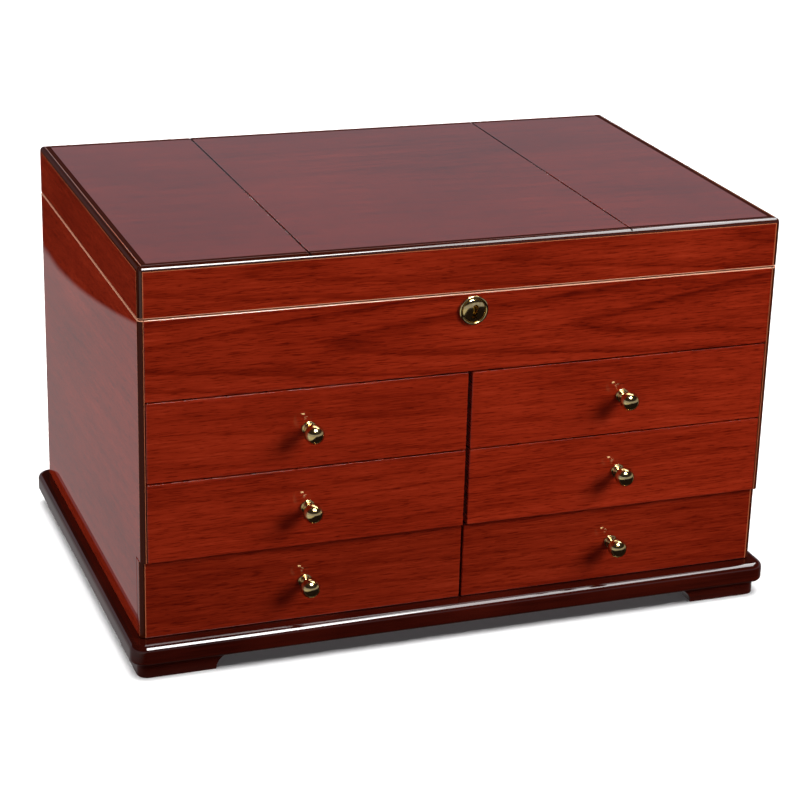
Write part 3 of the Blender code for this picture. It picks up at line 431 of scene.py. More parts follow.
def veneer(name, direction, seed, tip, tone, figure,
           front=CASE_FRONT, band=EDGE_BAND, band_gloss=BAND_GLOSS):
    """Lacquered veneer with a darker edging, a pale seam line that is partly bare veneer edge and partly painted
    highlight, and on the lid's top grooves in a painted reflection.

    direction names the axes along and across the grain, tip is where one arch has its tip, figure is how dark
    the ring lines are, front is the plane of the front face, and band and band_gloss are the width of the edging
    and how much of the lacquer's gloss it keeps.
    """
    mat, graph = new_material(f"veneer_{name}")
    x, y, z = graph.split(graph.place())
    axes = {"x": x, "y": y, "z": z}
    value, pores = grain(graph, axes[direction[0]], axes[direction[1]], seed, tip, figure)
    colour = graph.ramp(value, VENEER_TONES)
    colour = graph.mix(1.0, colour, (tone, tone, tone), "MULTIPLY")
    side, depth = depths(graph, x, y, front)
    distance = edge_distance(graph, side, depth, z)
    is_top = direction == "xy"
    if not is_top:
        line = graph.math("LESS_THAN", distance, band + EDGE_LINE)
        colour = graph.mix(line, colour, LINE_COLOUR)
    edging = graph.fit(distance, band - HAIR, band + HAIR, 1.0, 0.0)
    colour = graph.mix(edging, colour, BAND_COLOUR)
    # painted highlight: the outer skin beside the seam is painted pale, partly bare veneer edge and partly the
    # highlight of the rounded seam edges
    from_seam = graph.math("ABSOLUTE", graph.math("SUBTRACT", z, SEAM))
    beside_seam = graph.math("LESS_THAN", from_seam, SEAM_LINE)
    outside = graph.math("LESS_THAN", graph.math("MINIMUM", side, depth), SEAM_LINE)
    colour = graph.mix(graph.math("MULTIPLY", beside_seam, outside), colour, SEAM_EDGE_AND_HIGHLIGHT)
    # painted reflection in the grooves, below the top's rim
    if is_top:
        sunk = graph.math("LESS_THAN", z, LID_TOP - GROOVE_RIM)
        colour = graph.mix(sunk, colour, GROOVE_PAINTED_REFLECTION)
    on_top = graph.fit(z, LID_TOP - HAIR, LID_TOP - HAIR / 2)
    gloss = graph.fit(on_top, 0.0, 1.0, band_gloss, TOP_BAND_GLOSS)
    lacquer = graph.bump(graph.noise(graph.place(), VENEER_WAVES), *VENEER_WAVE_BUMP)
    finish_material(graph, LACQUER | {
        "Base Color": colour,
        "Roughness": graph.fit(value, 0.0, 1.0, *VENEER_ROUGHNESS),
        "Coat Weight": graph.fit(edging, 0.0, 1.0, 1.0, gloss),
        "Normal": graph.bump(graph.math("MULTIPLY", pores, -1.0), *PORE_BUMP, lacquer),
        "Coat Normal": lacquer,
    })
    return mat


def moulding():
    """Nearly black mahogany lacquer on the base and feet, with the grain just showing."""
    mat, graph = new_material("moulding_lacquer")
    streaks = graph.noise(graph.stretch(graph.place(), MOULDING_STREAKS), detail=3.0, roughness=0.6)
    clouds = graph.noise(graph.place(), MOULDING_CLOUDS)
    value = graph.math("MULTIPLY_ADD", clouds, 0.5, graph.math("MULTIPLY", streaks, 0.5))
    finish_material(graph, LACQUER | {
        "Base Color": graph.ramp(value, MOULDING_TONES),
        "Roughness": graph.fit(value, 0.2, 0.8, *MOULDING_ROUGHNESS),
        "Coat Weight": 1.0,
        "Coat Normal": graph.bump(graph.noise(graph.place(), MOULDING_WAVES), *MOULDING_WAVE_BUMP),
    })
    return mat


def carcase(name, direction, seed):
    """Satin stained wood for the drawer boxes and the boards inside."""
    mat, graph = new_material(name)
    axes = dict(zip("xyz", graph.split(graph.place())))
    along, across = axes[direction[0]], axes[direction[1]]
    value, pores = grain(graph, along, across, seed, CARCASE_ARCH, CARCASE_FIGURE)
    finish_material(graph, {
        "Base Color": graph.ramp(value, CARCASE_TONES),
        "Roughness": graph.fit(value, 0.0, 1.0, *CARCASE_ROUGHNESS),
        "Specular IOR Level": 0.4,
        "Normal": graph.bump(graph.math("SUBTRACT", value, pores), *CARCASE_BUMP),
    })
    return mat


# --- metal, glass and velvet --------------------------------------------------------------------------


BRASS_TONES = ((0.30, (0.66, 0.47, 0.18)), (0.62, (0.85, 0.70, 0.36)))
BRASS_EDGE_TINT = (0.55, 0.36, 0.12)
POLISH = (0.10, 0.05)  # roughness, and how much rougher the worn patches are
SATIN = (0.22, 0.12)
BRASS_PATCHES = 420.0  # repeats in a metre
BRASS_FINE = 5200.0
BRASS_BUMP = (0.05, 0.00002)
MIRROR_HAZE = 9.0
VELVET_PILE = 2600.0
VELVET_LEAN = 38.0
VELVET_PILE_SHARE = 0.45
VELVET_BUMP = (0.55, 0.0004)
MIRROR_TONES = ((0.3, (0.86, 0.88, 0.88)), (0.7, (0.91, 0.92, 0.92)))
VELVET_TONES = ((0.30, (0.400, 0.310, 0.200)), (0.70, (0.640, 0.530, 0.380)))


def brass(name, roughness, wear):
    """Lacquered brass, a little duller and browner in small patches."""
    mat, graph = new_material(name)
    patches = graph.noise(graph.place(), BRASS_PATCHES, 4.0, 0.6)
    fine = graph.noise(graph.place(), BRASS_FINE)
    rough = graph.math("MULTIPLY_ADD", graph.fit(patches, 0.35, 0.7, 1.0, 0.0), wear, roughness)
    finish_material(graph, {
        "Base Color": graph.ramp(patches, BRASS_TONES),
        "Metallic": 1.0,
        "Specular Tint": BRASS_EDGE_TINT,
        "Roughness": rough,
        "Normal": graph.bump(fine, *BRASS_BUMP),
    })
    return mat


def mirror_glass():
    """Silvered glass with a faint haze."""
    mat, graph = new_material("mirror_glass")
    haze = graph.noise(graph.place(), MIRROR_HAZE, 3.0)
    finish_material(graph, {
        "Base Color": graph.ramp(haze, MIRROR_TONES),
        "Metallic": 1.0,
        "Roughness": graph.fit(haze, 0.2, 0.8, 0.012, 0.03),
        "Coat Weight": 0.5,
        "Coat Roughness": 0.01,
    })
    return mat


def velvet():
    """Short-pile velvet: fine pile, patches where the pile leans another way, and a pale sheen."""
    mat, graph = new_material("velvet_lining")
    pile = graph.noise(graph.place(), VELVET_PILE, 3.0, 0.7)
    lean = graph.noise(graph.place(), VELVET_LEAN, 3.0, 0.55)
    patches = graph.math("MULTIPLY", lean, 1 - VELVET_PILE_SHARE)
    value = graph.math("MULTIPLY_ADD", pile, VELVET_PILE_SHARE, patches)
    height = graph.math("MULTIPLY_ADD", lean, 0.4, pile)
    finish_material(graph, {
        "Base Color": graph.ramp(value, VELVET_TONES),
        "Roughness": 0.95,
        "Specular IOR Level": 0.1,
        "Sheen Weight": 0.65,
        "Sheen Roughness": 0.35,
        "Sheen Tint": (0.95, 0.86, 0.72),
        "Normal": graph.bump(height, *VELVET_BUMP),
    })
    return mat


# --- modifiers on the CAD nodes -----------------------------------------------------------------------


def bevel_marks(low, high, split, below):
    """A node group that marks the sharp edges inside a box for the Bevel modifier that follows.

    Edges under the height split get the share below of the full width.
    """
    tree = bpy.data.node_groups.new("mark_sharp_edges", "GeometryNodeTree")
    tree.interface.new_socket("Geometry", in_out="INPUT", socket_type="NodeSocketGeometry")
    tree.interface.new_socket("Geometry", in_out="OUTPUT", socket_type="NodeSocketGeometry")
    graph = Graph(tree)
    start = graph.node("NodeGroupInput")
    angle = graph.node("GeometryNodeInputMeshEdgeAngle").outputs[0]
    chosen = graph.compare("GREATER_THAN", angle, CREASE)
    place = graph.split(graph.node("GeometryNodeInputPosition").outputs[0])
    for value, least, most in zip(place, low, high):
        over = graph.compare("GREATER_THAN", value, least)
        under = graph.compare("LESS_THAN", value, most)
        inside = graph.node("FunctionNodeBooleanMath", {0: over, 1: under}).outputs[0]
        chosen = graph.node("FunctionNodeBooleanMath", {0: chosen, 1: inside}).outputs[0]
    store = graph.node("GeometryNodeStoreNamedAttribute", {"Geometry": start.outputs[0]}, domain="EDGE")
    store.inputs["Name"].default_value = "bevel_weight_edge"
    upper = graph.compare("GREATER_THAN", place[2], split)
    share = graph.math("MULTIPLY_ADD", upper, 1.0 - below, below)
    graph.feed(store.inputs["Value"], graph.math("MULTIPLY", share, chosen))
    graph.node("NodeGroupOutput", {0: store.outputs[0]})
    return tree


def refine(obj, width, inside=EVERYWHERE, split=-1.0, below=1.0, segments=ROUND_STEPS):
    """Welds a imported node's facets and rounds its sharp edges inside a box, all in modifiers."""
    if "custom_normal" in obj.data.attributes:
        obj.data.attributes.remove(obj.data.attributes["custom_normal"])
    obj.data.polygons.foreach_set("use_smooth", [True] * len(obj.data.polygons))
    weld = obj.modifiers.new("weld", "WELD")
    weld.merge_threshold = WELD
    dissolve = obj.modifiers.new("dissolve", "DECIMATE")
    dissolve.decimate_type = "DISSOLVE"
    dissolve.angle_limit = FLAT
    marks = obj.modifiers.new("marks", "NODES")
    marks.node_group = bevel_marks(*inside, split, below)
    bevel = obj.modifiers.new("round", "BEVEL")
    bevel.limit_method = "WEIGHT"
    bevel.width = width
    bevel.segments = segments
    bevel.miter_outer = "MITER_ARC"
    normals = obj.modifiers.new("normals", "WEIGHTED_NORMAL")
    normals.keep_sharp = True
    normals.weight = NORMAL_WEIGHT


def paint(node, mat):
    """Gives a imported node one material."""
    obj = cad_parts[node]
    obj.data.materials.clear()
    obj.data.materials.append(mat)
    obj.data.polygons.foreach_set("material_index", [0] * len(obj.data.polygons))
    return obj


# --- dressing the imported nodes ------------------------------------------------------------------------


def dress_case():
    rim = LEFT_HIGH.z - RIM_ROUND
    front = veneer("compartment", *BOARDS["compartment"])
    refine(paint("compartment_front", front), RIM_ROUND, split=rim, below=COMPARTMENT_SHARE)
    for name in ("side_panel_left", "side_panel_right"):
        refine(paint(name, veneer(name, *BOARDS[name])), RIM_ROUND, split=rim, below=SIDE_SHARE)
    refine(paint("back_panel", veneer("back", *BOARDS["back"])), BACK_ROUND)
    base = moulding()
    for name in ("base_plinth", "foot_front_left", "foot_front_right", "foot_back_left", "foot_back_right"):
        refine(paint(name, base), BASE_ROUND)
    boards = carcase("carcase_boards", "xy", BOARDS_SEED)
    for name in ("case_floor", "shelf_upper", "shelf_lower", "compartment_floor"):
        refine(paint(name, boards), BOARD_ROUND)
    refine(paint("centre_divider", carcase("carcase_divider", "yz", DIVIDER_SEED)), BOARD_ROUND)


def dress_lid():
    at_seam = (EVERYWHERE[0], (1.0, 1.0, LID_BOTTOM + HAIR))
    across = veneer("lid_front", *BOARDS["lid_front"], band_gloss=1.0)
    for name in ("lid_rail_front", "lid_rail_back"):
        refine(paint(name, across), SEAM_ROUND, at_seam)
    along = veneer("lid_sides", *BOARDS["lid_sides"])
    for name in ("lid_rail_left", "lid_rail_right"):
        refine(paint(name, along), SEAM_ROUND, at_seam)
    top = veneer("lid_top", *BOARDS["lid_top"], band=TOP_BAND, band_gloss=TOP_BAND_GLOSS)
    low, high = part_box("lid_top_panel")
    inset = Vector((TOP_INSET, TOP_INSET, -TOP_INSET))
    refine(paint("lid_top_panel", top), TOP_ROUND, (low + inset, high - inset))


def dress_drawers():
    for index, name in enumerate(DRAWERS):
        low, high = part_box(f"{name}_front")
        middle = (low + high) / 2
        tip = (middle.x, middle.z + DRAWER_ARCH * (-1) ** (index // 2))
        seed = DRAWER_SEED + DRAWER_SEED_STEP * index
        mat = veneer(name, "xz", seed, tip, DRAWER_TONES[name[-1]], PLAIN_FIGURE, front=low.y)
        refine(paint(f"{name}_front", mat), DRAWER_ROUND)
        inner = carcase(f"carcase_{name}", "yz", BOX_SEED + BOX_SEED_STEP * index)
        refine(paint(f"{name}_box", inner), BOARD_ROUND)


def dress_metal():
    plain = brass("brass_hinges", *SATIN)
    for side in ("left", "right"):
        for part in ("case_leaf", "pin", "lid_leaf"):
            refine(paint(f"hinge_{side}_{part}", plain), METAL_ROUND)
    for name in ("lock_case", "lock_bolt", "lid_strike"):
        refine(paint(name, plain), METAL_ROUND)


# --- turned brass -------------------------------------------------------------------------------------


def add_mesh(name, bm, mat, smooth_angle=CREASE):
    """Makes an object of a mesh under construction, smooth but for its sharp edges."""
    mesh = bpy.data.meshes.new(name)
    bm.to_mesh(mesh)
    bm.free()
    mesh.polygons.foreach_set("use_smooth", [True] * len(mesh.polygons))
    mesh.set_sharp_from_angle(angle=smooth_angle)
    mesh.materials.append(mat)
    obj = bpy.data.objects.new(name, mesh)
    bpy.context.scene.collection.objects.link(obj)
    return obj


def arc(middle, radius, start, end, steps):
    """Points (radius from the axis, place along it) round a circle, with the angles in degrees."""
    angles = [math.radians(start + (end - start) * step / steps) for step in range(steps + 1)]
    return [(middle[0] + radius * math.cos(a), middle[1] + radius * math.sin(a)) for a in angles]


def turned(profile, steps):
    """A solid turned about the Y axis, from a profile of (radius, y) that starts and ends on the axis."""
    bm = bmesh.new()
    rings = []
    for radius, y in profile:
        if radius < HAIR:
            rings.append([bm.verts.new((0.0, y, 0.0))])
            continue
        turns = [2 * math.pi * step / steps for step in range(steps)]
        rings.append([bm.verts.new((radius * math.cos(t), y, radius * math.sin(t))) for t in turns])
    for near, far in zip(rings, rings[1:]):
        for k in range(steps):
            following = (k + 1) % steps
            corners = [near[k % len(near)], near[following % len(near)]]
            corners += [far[following % len(far)], far[k % len(far)]]
            unique = list(dict.fromkeys(corners))
            bm.faces.new(unique)
    bmesh.ops.recalc_face_normals(bm, faces=bm.faces[:])
    return bm


def ball_knobs(mat):
    """Turned ball knobs, each on a stepped base."""
    neck = math.degrees(math.asin(KNOB_NECK / KNOB_RADIUS))
    profile = [(0.0, -HAIR), (KNOB_FOOT, -HAIR)]
    for (middle, radius, start, end), steps in zip(KNOB_TURNINGS, KNOB_TURNING_STEPS):
        points = arc(middle, radius, start, end, steps)
        joined = math.dist(points[0], profile[-1]) < HAIR
        profile += points[1:] if joined else points
    profile += arc((0.0, -KNOB_CENTRE), KNOB_RADIUS, 90 - neck, -90, BALL_STEPS)
    profile[-1] = (0.0, -KNOB_CENTRE - KNOB_RADIUS)
    mesh = None
    for name in DRAWERS:
        low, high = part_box(f"{name}_knob")
        if mesh is None:
            obj = add_mesh(f"{name}_ball_knob", turned(profile, TURN_STEPS), mat, KNOB_CREASE)
            mesh = obj.data
        else:
            obj = bpy.data.objects.new(f"{name}_ball_knob", mesh)
            bpy.context.scene.collection.objects.link(obj)
        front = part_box(f"{name}_front")[0].y
        obj.location = ((low.x + high.x) / 2, front, (low.z + high.z) / 2)
        bpy.context.view_layer.update()
        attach(obj, name)
        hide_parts(f"{name}_knob")


def cut(obj, cutter):
    """Takes the cutter out of obj and removes it."""
    boolean = obj.modifiers.new("cut", "BOOLEAN")
    boolean.object = cutter
    boolean.solver = "EXACT"
    evaluated = obj.evaluated_get(bpy.context.evaluated_depsgraph_get())
    mesh = bpy.data.meshes.new_from_object(evaluated)
    obj.modifiers.remove(boolean)
    obj.data = mesh
    bpy.data.objects.remove(cutter)
    mesh.polygons.foreach_set("use_smooth", [True] * len(mesh.polygons))
    mesh.set_sharp_from_angle(angle=CREASE)


def keyhole_cutter(mat):
    """The keyhole: a round head and a skirt that flares downwards, wider at the face than behind it."""
    outline = arc((0.0, KEYHOLE_HEAD), KEYHOLE_RADIUS, *KEYHOLE_ARC)
    outline += [(-KEYHOLE_FOOT_HALF, -KEYHOLE_FOOT), (KEYHOLE_FOOT_HALF, -KEYHOLE_FOOT)]
    bm = bmesh.new()
    loops = []
    for y, scale in KEYHOLE_DEPTHS:
        loops.append([bm.verts.new((x * scale, y, z * scale)) for x, z in outline])
    for near, far in zip(loops, loops[1:]):
        for k, corner in enumerate(near):
            bm.faces.new((corner, near[k - 1], far[k - 1], far[k]))
    bm.faces.new(loops[0])
    bm.faces.new(loops[-1])
    bmesh.ops.rotate(bm, matrix=Matrix.Rotation(math.radians(KEYHOLE_TILT), 3, "Y"), verts=bm.verts[:])
    bmesh.ops.recalc_face_normals(bm, faces=bm.faces[:])
    return add_mesh("keyhole_cutter", bm, mat)


def escutcheon(mat):
    """The domed plate round the keyhole, with a beaded rim and a sleeve behind it."""
    low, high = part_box("lock_escutcheon")
    middle = (low + high) / 2
    back = CASE_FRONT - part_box("lock_plug")[0].y
    edge = ESCUTCHEON_RADIUS - ESCUTCHEON_BEAD
    profile = [(0.0, back), (SLEEVE_BORE, back), (SLEEVE_BORE, high.y - CASE_FRONT)]
    profile += [(SLEEVE_RADIUS, high.y - CASE_FRONT), (SLEEVE_RADIUS, back), (ESCUTCHEON_RADIUS, back)]
    profile += arc((edge, -ESCUTCHEON_BEAD), ESCUTCHEON_BEAD, 0, BEAD_END, BEAD_STEPS)
    for step in range(DOME_STEPS + 1):
        angle = math.pi / 2 * step / DOME_STEPS
        profile.append((DOME_RADIUS * math.cos(angle), -DOME_FOOT - DOME_RISE * math.sin(angle)))
    profile[-1] = (0.0, -DOME_FOOT - DOME_RISE)
    obj = add_mesh("lock_domed_plate", turned(profile, TURN_STEPS), mat)
    cut(obj, keyhole_cutter(mat))
    obj.location = (middle.x, CASE_FRONT, middle.z)
    bpy.context.view_layer.update()
    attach(obj, "case")
    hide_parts("lock_escutcheon")


def screws(mat):
    """Slotted screw heads on the hinge leaves and on the strike."""
    profile = [(0.0, SCREW_RADIUS / 2), (SCREW_RADIUS, SCREW_RADIUS / 2), (SCREW_RADIUS, -HAIR)]
    profile += [(SCREW_RADIUS * 0.85, -SCREW_RISE * 0.6), (SCREW_RADIUS * 0.5, -SCREW_RISE * 0.9)]
    profile.append((0.0, -SCREW_RISE))
    head = add_mesh("screw_head", turned(profile, SCREW_STEPS), mat)
    slot_bm = bmesh.new()
    bmesh.ops.create_cube(slot_bm, size=1.0)
    size = Matrix.Diagonal((SCREW_RADIUS * 3, SCREW_RISE * 1.6, SCREW_RADIUS * 0.3, 1.0))
    shift = Matrix.Translation((0.0, -SCREW_RISE, 0.0))
    bmesh.ops.transform(slot_bm, matrix=shift @ size, verts=slot_bm.verts[:])
    cut(head, add_mesh("screw_slot", slot_bm, mat))
    mesh = head.data
    bpy.data.objects.remove(head)
    places = []
    for side in ("left", "right"):
        for body, reach in (("case", SCREW_REACH), ("lid", 1 - SCREW_REACH)):
            low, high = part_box(f"hinge_{side}_{body}_leaf")
            height = low.z + (high.z - low.z) * reach
            for share in SCREW_SHARES:
                x = low.x + (high.x - low.x) * share
                places.append((f"hinge_{side}_{body}_screw", body, (x, low.y + HINGE_LEAF, height), 180))
    low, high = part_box("lid_strike")
    for x in (low.x + SCREW_INSET, high.x - SCREW_INSET):
        places.append(("lid_strike_screw", "lid", (x, (low.y + high.y) / 2, low.z), 90))
    for index, (name, body, place, angle) in enumerate(places):
        obj = bpy.data.objects.new(f"{name}_{index}", mesh)
        bpy.context.scene.collection.objects.link(obj)
        slot_turn = SCREW_TURN * (index % 3) if angle == 180 else 0
        turn = Matrix.Rotation(math.radians(angle + slot_turn), 4, "Y")
        obj.matrix_world = Matrix.Translation(place) @ Matrix.Rotation(math.radians(angle), 4, "X") @ turn
        bpy.context.view_layer.update()
        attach(obj, body)


# --- velvet pieces ------------------------------------------------------------------------------------


def closed_grid(rows):
    """A closed skin over rows of points. Each row is an open line, and the rows form a loop."""
    bm = bmesh.new()
    lines = [[bm.verts.new(point) for point in row] for row in rows]
    for near, far in zip(lines, lines[1:] + lines[:1]):
        for k in range(len(near) - 1):
            bm.faces.new((near[k], near[k + 1], far[k + 1], far[k]))
    bm.faces.new([line[0] for line in lines])
    bm.faces.new([line[-1] for line in lines])
    bmesh.ops.recalc_face_normals(bm, faces=bm.faces[:])
    return bm


def inflate(obj, cap):
    """Fills a skin with air by cloth simulation; no point moves further than cap."""
    remesh = obj.modifiers.new("remesh", "REMESH")
    remesh.mode = "VOXEL"
    remesh.voxel_size = ROLL_VOXEL
    mesh = bpy.data.meshes.new_from_object(obj.evaluated_get(bpy.context.evaluated_depsgraph_get()))
    obj.modifiers.clear()
    obj.data = mesh
    start = np.empty(len(mesh.vertices) * 3)
    mesh.vertices.foreach_get("co", start)
    cloth = obj.modifiers.new("cloth", "CLOTH")
    cloth.settings.quality = CLOTH_QUALITY
    cloth.settings.use_pressure = True
    cloth.settings.uniform_pressure_force = ROLL_PRESSURE
    cloth.settings.effector_weights.gravity = 0.0
    scene = bpy.context.scene
    for step in range(1, CLOTH_FRAMES + 1):
        scene.frame_set(step)
    puffed = bpy.data.meshes.new_from_object(obj.evaluated_get(bpy.context.evaluated_depsgraph_get()))
    end = np.empty(len(puffed.vertices) * 3)
    puffed.vertices.foreach_get("co", end)
    scene.frame_set(1)
    obj.modifiers.clear()
    move = (end - start).reshape(-1, 3)
    length = np.linalg.norm(move, axis=1, keepdims=True)
    move *= np.minimum(1.0, cap / np.maximum(length, 1e-9))
    mesh.vertices.foreach_set("co", (start.reshape(-1, 3) + move).ravel())
    mesh.update()


def ring_rolls(mat):
    """Six padded rolls side by side on a covered base, with the slots for rings between them."""
    low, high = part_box("ring_rolls")
    pitch = (high.y - low.y) / ROLL_COUNT
    half = (pitch - ROLL_SLOT) / 2 - ROLL_SWELL
    foot = low.z + ROLL_BASE
    height = high.z - ROLL_SWELL - foot
    bm = bmesh.new()
    for roll in range(ROLL_COUNT):
        middle = low.y + pitch * (roll + 0.5)
        rows = []
        for step in range(ROLL_STEPS):
            angle = 2 * math.pi * step / ROLL_STEPS
            lift = max(math.sin(angle), ROLL_FLAT)
            row = []
            for share, scale in ROLL_ENDS:
                x = low.x + ROLL_SWELL + (high.x - low.x - 2 * ROLL_SWELL) * share
                row.append((x, middle + half * scale * math.cos(angle), foot + height * scale * lift))
            rows.append(row)
        part = closed_grid(rows)
        loose = bpy.data.meshes.new("roll")
        part.to_mesh(loose)
        part.free()
        bm.from_mesh(loose)
        bpy.data.meshes.remove(loose)
    rolls = add_mesh("ring_roll_pads", bm, mat)
    inflate(rolls, ROLL_SWELL)
    rolls.data.polygons.foreach_set("use_smooth", [True] * len(rolls.data.polygons))
    smooth = rolls.modifiers.new("smooth", "SUBSURF")
    smooth.levels = 1
    smooth.render_levels = 1
    base = bmesh.new()
    bmesh.ops.create_cube(base, size=1.0)
    size = (high.x - low.x, high.y - low.y, ROLL_BASE - HAIR)
    middle = ((low.x + high.x) / 2, (low.y + high.y) / 2, low.z + size[2] / 2)
    place = Matrix.Translation(middle) @ Matrix.Diagonal((*size, 1.0))
    bmesh.ops.transform(base, matrix=place, verts=base.verts[:])
    bmesh.ops.bevel(base, geom=base.edges[:], offset=ROLL_BASE_ROUND, segments=ROUND_STEPS,
                    affect="EDGES", profile=0.5)
    board = add_mesh("ring_roll_base", base, mat)
    for obj in (rolls, board):
        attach(obj, "case")
    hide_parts("ring_rolls")


def soft_slab(name, low, high, mat):
    """A thin velvet pad with rolled edges, a slightly crowned top and small hollows."""
    bm = bmesh.new()
    top, bottom = [], []
    count_x, count_y = PAD_STEPS
    for i in range(count_x + 1):
        top.append([])
        bottom.append([])
        for j in range(count_y + 1):
            # points crowd towards the edges, where the pad rolls over
            x = low.x + (high.x - low.x) * (1 - math.cos(math.pi * i / count_x)) / 2
            y = low.y + (high.y - low.y) * (1 - math.cos(math.pi * j / count_y)) / 2
            edge = min(x - low.x, high.x - x, y - low.y, high.y - y)
            roll = min(1.0, edge / PAD_ROLL)
            rise = (high.z - low.z + PAD_CROWN) * math.sqrt(1 - (1 - roll) ** 2)
            point = Vector((x * PAD_HOLLOW_SCALE, y * PAD_HOLLOW_SCALE, low.z * PAD_SEED))
            hollow = PAD_CROWN * PAD_HOLLOW * noise.noise(point) * roll
            top[-1].append(bm.verts.new((x, y, low.z + HAIR + rise + hollow)))
            bottom[-1].append(bm.verts.new((x, y, low.z)))
    for i in range(count_x):
        for j in range(count_y):
            bm.faces.new((top[i][j], top[i + 1][j], top[i + 1][j + 1], top[i][j + 1]))
            bm.faces.new((bottom[i][j], bottom[i][j + 1], bottom[i + 1][j + 1], bottom[i + 1][j]))
    for i in range(count_x):
        bm.faces.new((bottom[i][0], bottom[i + 1][0], top[i + 1][0], top[i][0]))
        bm.faces.new((bottom[i + 1][-1], bottom[i][-1], top[i][-1], top[i + 1][-1]))
    for j in range(count_y):
        bm.faces.new((bottom[0][j + 1], bottom[0][j], top[0][j], top[0][j + 1]))
        bm.faces.new((bottom[-1][j], bottom[-1][j + 1], top[-1][j + 1], top[-1][j]))
    bmesh.ops.recalc_face_normals(bm, faces=bm.faces[:])
    return add_mesh(name, bm, mat, PAD_CREASE)


def drawer_linings(mat):
    for name in DRAWERS:
        low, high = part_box(f"{name}_lining")
        pad = soft_slab(f"{name}_lining_pad", low, high, mat)
        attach(pad, name)
        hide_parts(f"{name}_lining")


def mirror_surround(mat):
    """The padded frame round the mirror: a crowned section carried round a rectangle."""
    low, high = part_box("mirror_surround")
    middle = (low + high) / 2
    rows = []
    for step in range(SECTION_STEPS + 1):
        angle = math.pi * step / SECTION_STEPS
        inset = SURROUND_WIDTH * (1 - math.cos(angle)) / 2
        slope = 1 - SURROUND_SLOPE * inset / SURROUND_WIDTH
        drop = (high.z - low.z) * math.sin(angle) ** SURROUND_CROWN * slope
        rows.append((inset, high.z - drop))
    bm = bmesh.new()
    loops = []
    for inset, z in rows:
        half_x = (high.x - low.x) / 2 - inset
        half_y = (high.y - low.y) / 2 - inset
        loop = []
        for k, (side_x, side_y) in enumerate(((1, 1), (-1, 1), (-1, -1), (1, -1))):
            for turn in range(CORNER_STEPS + 1):
                angle = math.pi / 2 * (k + turn / CORNER_STEPS)
                x = side_x * (half_x - CORNER_RADIUS) + CORNER_RADIUS * math.cos(angle)
                y = side_y * (half_y - CORNER_RADIUS) + CORNER_RADIUS * math.sin(angle)
                loop.append(bm.verts.new((middle.x + x, middle.y + y, z)))
        loops.append(loop)
    for near, far in zip(loops, loops[1:] + loops[:1]):
        for k, corner in enumerate(near):
            bm.faces.new((corner, near[k - 1], far[k - 1], far[k]))
    bmesh.ops.recalc_face_normals(bm, faces=bm.faces[:])
    frame_pad = add_mesh("mirror_surround_pad", bm, mat, SURROUND_CREASE)
    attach(frame_pad, "lid")
    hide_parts("mirror_surround")


def dress_inside():
    lining = velvet()
    refine(paint("compartment_liner", lining), LINER_ROUND)
    refine(paint("compartment_partition", lining), PARTITION_ROUND)
    refine(paint("lid_mirror", mirror_glass()), MIRROR_BEVEL, segments=1)
    drawer_linings(lining)
    mirror_surround(lining)
    ring_rolls(lining)


# --- studio -------------------------------------------------------------------------------------------


def set_camera():
    yaw, pitch, roll = (math.radians(angle) for angle in (CAMERA_YAW, CAMERA_PITCH, CAMERA_ROLL))
    forward = Vector((math.sin(yaw) * math.cos(pitch), math.cos(yaw) * math.cos(pitch), -math.sin(pitch)))
    level_right = Vector((math.cos(yaw), -math.sin(yaw), 0.0))
    level_up = level_right.cross(forward)
    right = math.cos(roll) * level_right + math.sin(roll) * level_up
    up = math.cos(roll) * level_up - math.sin(roll) * level_right
    data = bpy.data.cameras.new("camera")
    data.lens = CAMERA_LENS
    data.shift_x = CAMERA_SHIFT
    camera = bpy.data.objects.new("camera", data)
    bpy.context.scene.collection.objects.link(camera)
    turn = Matrix((right, up, -forward)).transposed().to_4x4()
    camera.matrix_world = Matrix.Translation(CAMERA_PLACE) @ turn
    bpy.context.scene.camera = camera


def softbox(name, place, target, size, radiance, diffuse=True, glossy=True):
    """A rectangular soft light. diffuse and glossy say whether it lights matt surfaces and reflections."""
    data = bpy.data.lights.new(name, "AREA")
    data.shape = "RECTANGLE"
    data.size, data.size_y = size
    data.energy = radiance * math.pi * size[0] * size[1]
    light = bpy.data.objects.new(name, data)
    bpy.context.scene.collection.objects.link(light)
    light.location = place
    light.rotation_euler = (Vector(target) - Vector(place)).to_track_quat("-Z", "Y").to_euler()
    light.visible_diffuse = diffuse
    light.visible_glossy = glossy
    light.visible_camera = False
    return light


def plane(name, reach, height):
    """A level square that stands for part of the studio, with its own node tree."""
    mesh = bpy.data.meshes.new(name)
    bm = bmesh.new()
    bmesh.ops.create_grid(bm, x_segments=1, y_segments=1, size=reach)
    bm.to_mesh(mesh)
    bm.free()
    obj = bpy.data.objects.new(name, mesh)
    bpy.context.scene.collection.objects.link(obj)
    obj.location.z = height
    mat, graph = new_material(name)
    mesh.materials.append(mat)
    obj.visible_diffuse = False
    obj.visible_shadow = False
    obj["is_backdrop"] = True
    return obj, graph


def floor():
    """The pale floor that the chest stands on. It doesn't show in the lacquer, where the table does."""
    obj, graph = plane("studio_floor", FLOOR_REACH, 0.0)
    finish_material(graph, {
        "Base Color": graph.ramp(graph.noise(graph.place(), 3.0), FLOOR_TONES),
        "Roughness": 0.9,
        "Specular IOR Level": 0.0,
        "Emission Color": (1.0, 1.0, 1.0),
        "Emission Strength": FLOOR_GLOW,
    })
    obj.visible_glossy = False
    return obj


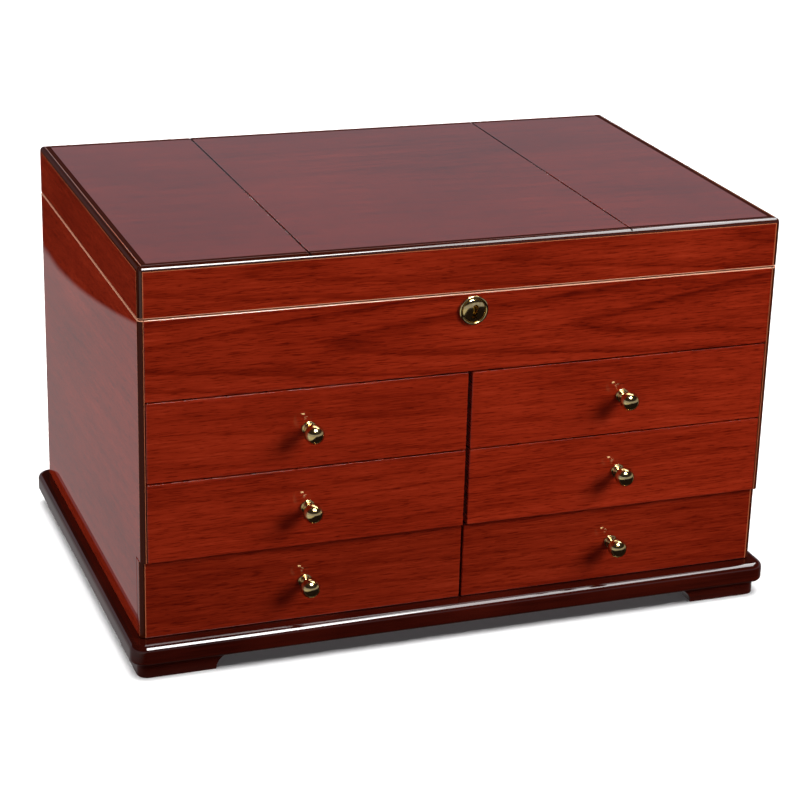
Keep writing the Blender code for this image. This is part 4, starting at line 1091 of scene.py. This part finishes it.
def reflector():
    """A plane that only reflections see, so that the lacquer mirrors a table and its dark far edge."""
    obj, graph = plane("table_reflection", TABLE_REACH, -TABLE_DROP)
    x, y, _ = graph.split(graph.place())
    away_x = graph.math("SUBTRACT", x, TABLE_EDGE[0])
    away_y = graph.math("MINIMUM", graph.math("SUBTRACT", y, TABLE_EDGE[1]), 0.0)
    square = graph.math("MULTIPLY_ADD", away_x, away_x, graph.math("MULTIPLY", away_y, away_y))
    distance = graph.math("SQRT", square)
    table = graph.fit(distance, TABLE_EDGE_RADIUS - TABLE_EDGE_BLUR, TABLE_EDGE_RADIUS + TABLE_EDGE_BLUR)
    left = graph.fit(x, *TABLE_LIT_LEFT, 1.0, 0.0)
    behind = graph.fit(y, *TABLE_LIT_BEHIND)
    lit = graph.math("MULTIPLY", graph.math("MAXIMUM", left, behind), table)
    near = graph.mix(graph.fit(y, *TABLE_NEAR_END), TABLE_NEAR_COLOUR, TABLE_COLOUR)
    shade = graph.mix(lit, TABLE_DARK, near)
    glow = graph.node("ShaderNodeEmission", {"Color": shade, "Strength": 1.0})
    graph.node("ShaderNodeOutputMaterial", {"Surface": glow.outputs[0]})
    obj.visible_camera = False
    obj.visible_transmission = False


def surroundings():
    """The room: a grey band low round the horizon, and dark above it."""
    world = bpy.data.worlds.new("studio")
    bpy.context.scene.world = world
    world.use_nodes = True
    graph = Graph(world.node_tree)
    _, _, z = graph.split(graph.node("ShaderNodeTexCoord").outputs["Generated"])
    colour = graph.mix(graph.fit(z, *ROOM_RISE), ROOM_LOW, ROOM_HIGH)
    background = graph.node("ShaderNodeBackground", {"Color": colour, "Strength": 1.0})
    graph.node("ShaderNodeOutputWorld", {"Surface": background.outputs[0]})


def link(light, objects, state):
    """Makes a light reach only these objects, or everything but them."""
    group = bpy.data.collections.new(light.name + "_receivers")
    for obj in objects:
        group.objects.link(obj)
    light.light_linking.receiver_collection = group
    for member in group.collection_objects:
        member.light_linking.link_state = state


def lights(ground):
    """Soft lights for the matt colours, others that only reflections see, and one over the floor."""
    for name, place, size, radiance in MATT_LIGHTS:
        link(softbox(name, place, LIT_MIDDLE, size, radiance, glossy=False), [ground], "EXCLUDE")
    metal = [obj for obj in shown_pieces() if obj.data.materials[0].name.startswith("brass")]
    name, place, size, radiance = BRASS_LIGHT
    link(softbox(name, place, LIT_MIDDLE, size, radiance, diffuse=False), metal, "INCLUDE")
    for name, place, size, radiance, turn in OVERHEAD_LIGHTS:
        below = (place[0], place[1], 0.0)
        light = softbox(name, place, below, size, radiance, diffuse=False)
        light.rotation_euler.z += math.radians(turn)
        link(light, metal, "EXCLUDE")
    above = (0.0, WASH_Y, WASH_HEIGHT)
    size = (WASH_SIZE, WASH_SIZE)
    wash = softbox("floor_wash", above, (0.0, WASH_Y, 0.0), size, WASH_RADIANCE, glossy=False)
    link(wash, [ground], "INCLUDE")


def main():
    scene = bpy.context.scene
    scene.view_settings.view_transform = "Standard"
    set_camera()
    dress_case()
    dress_lid()
    dress_drawers()
    dress_metal()
    polished = brass("brass_polished", *POLISH)
    ball_knobs(polished)
    escutcheon(polished)
    paint("lock_plug", polished)
    screws(polished)
    dress_inside()
    surroundings()
    reflector()
    lights(floor())


main()
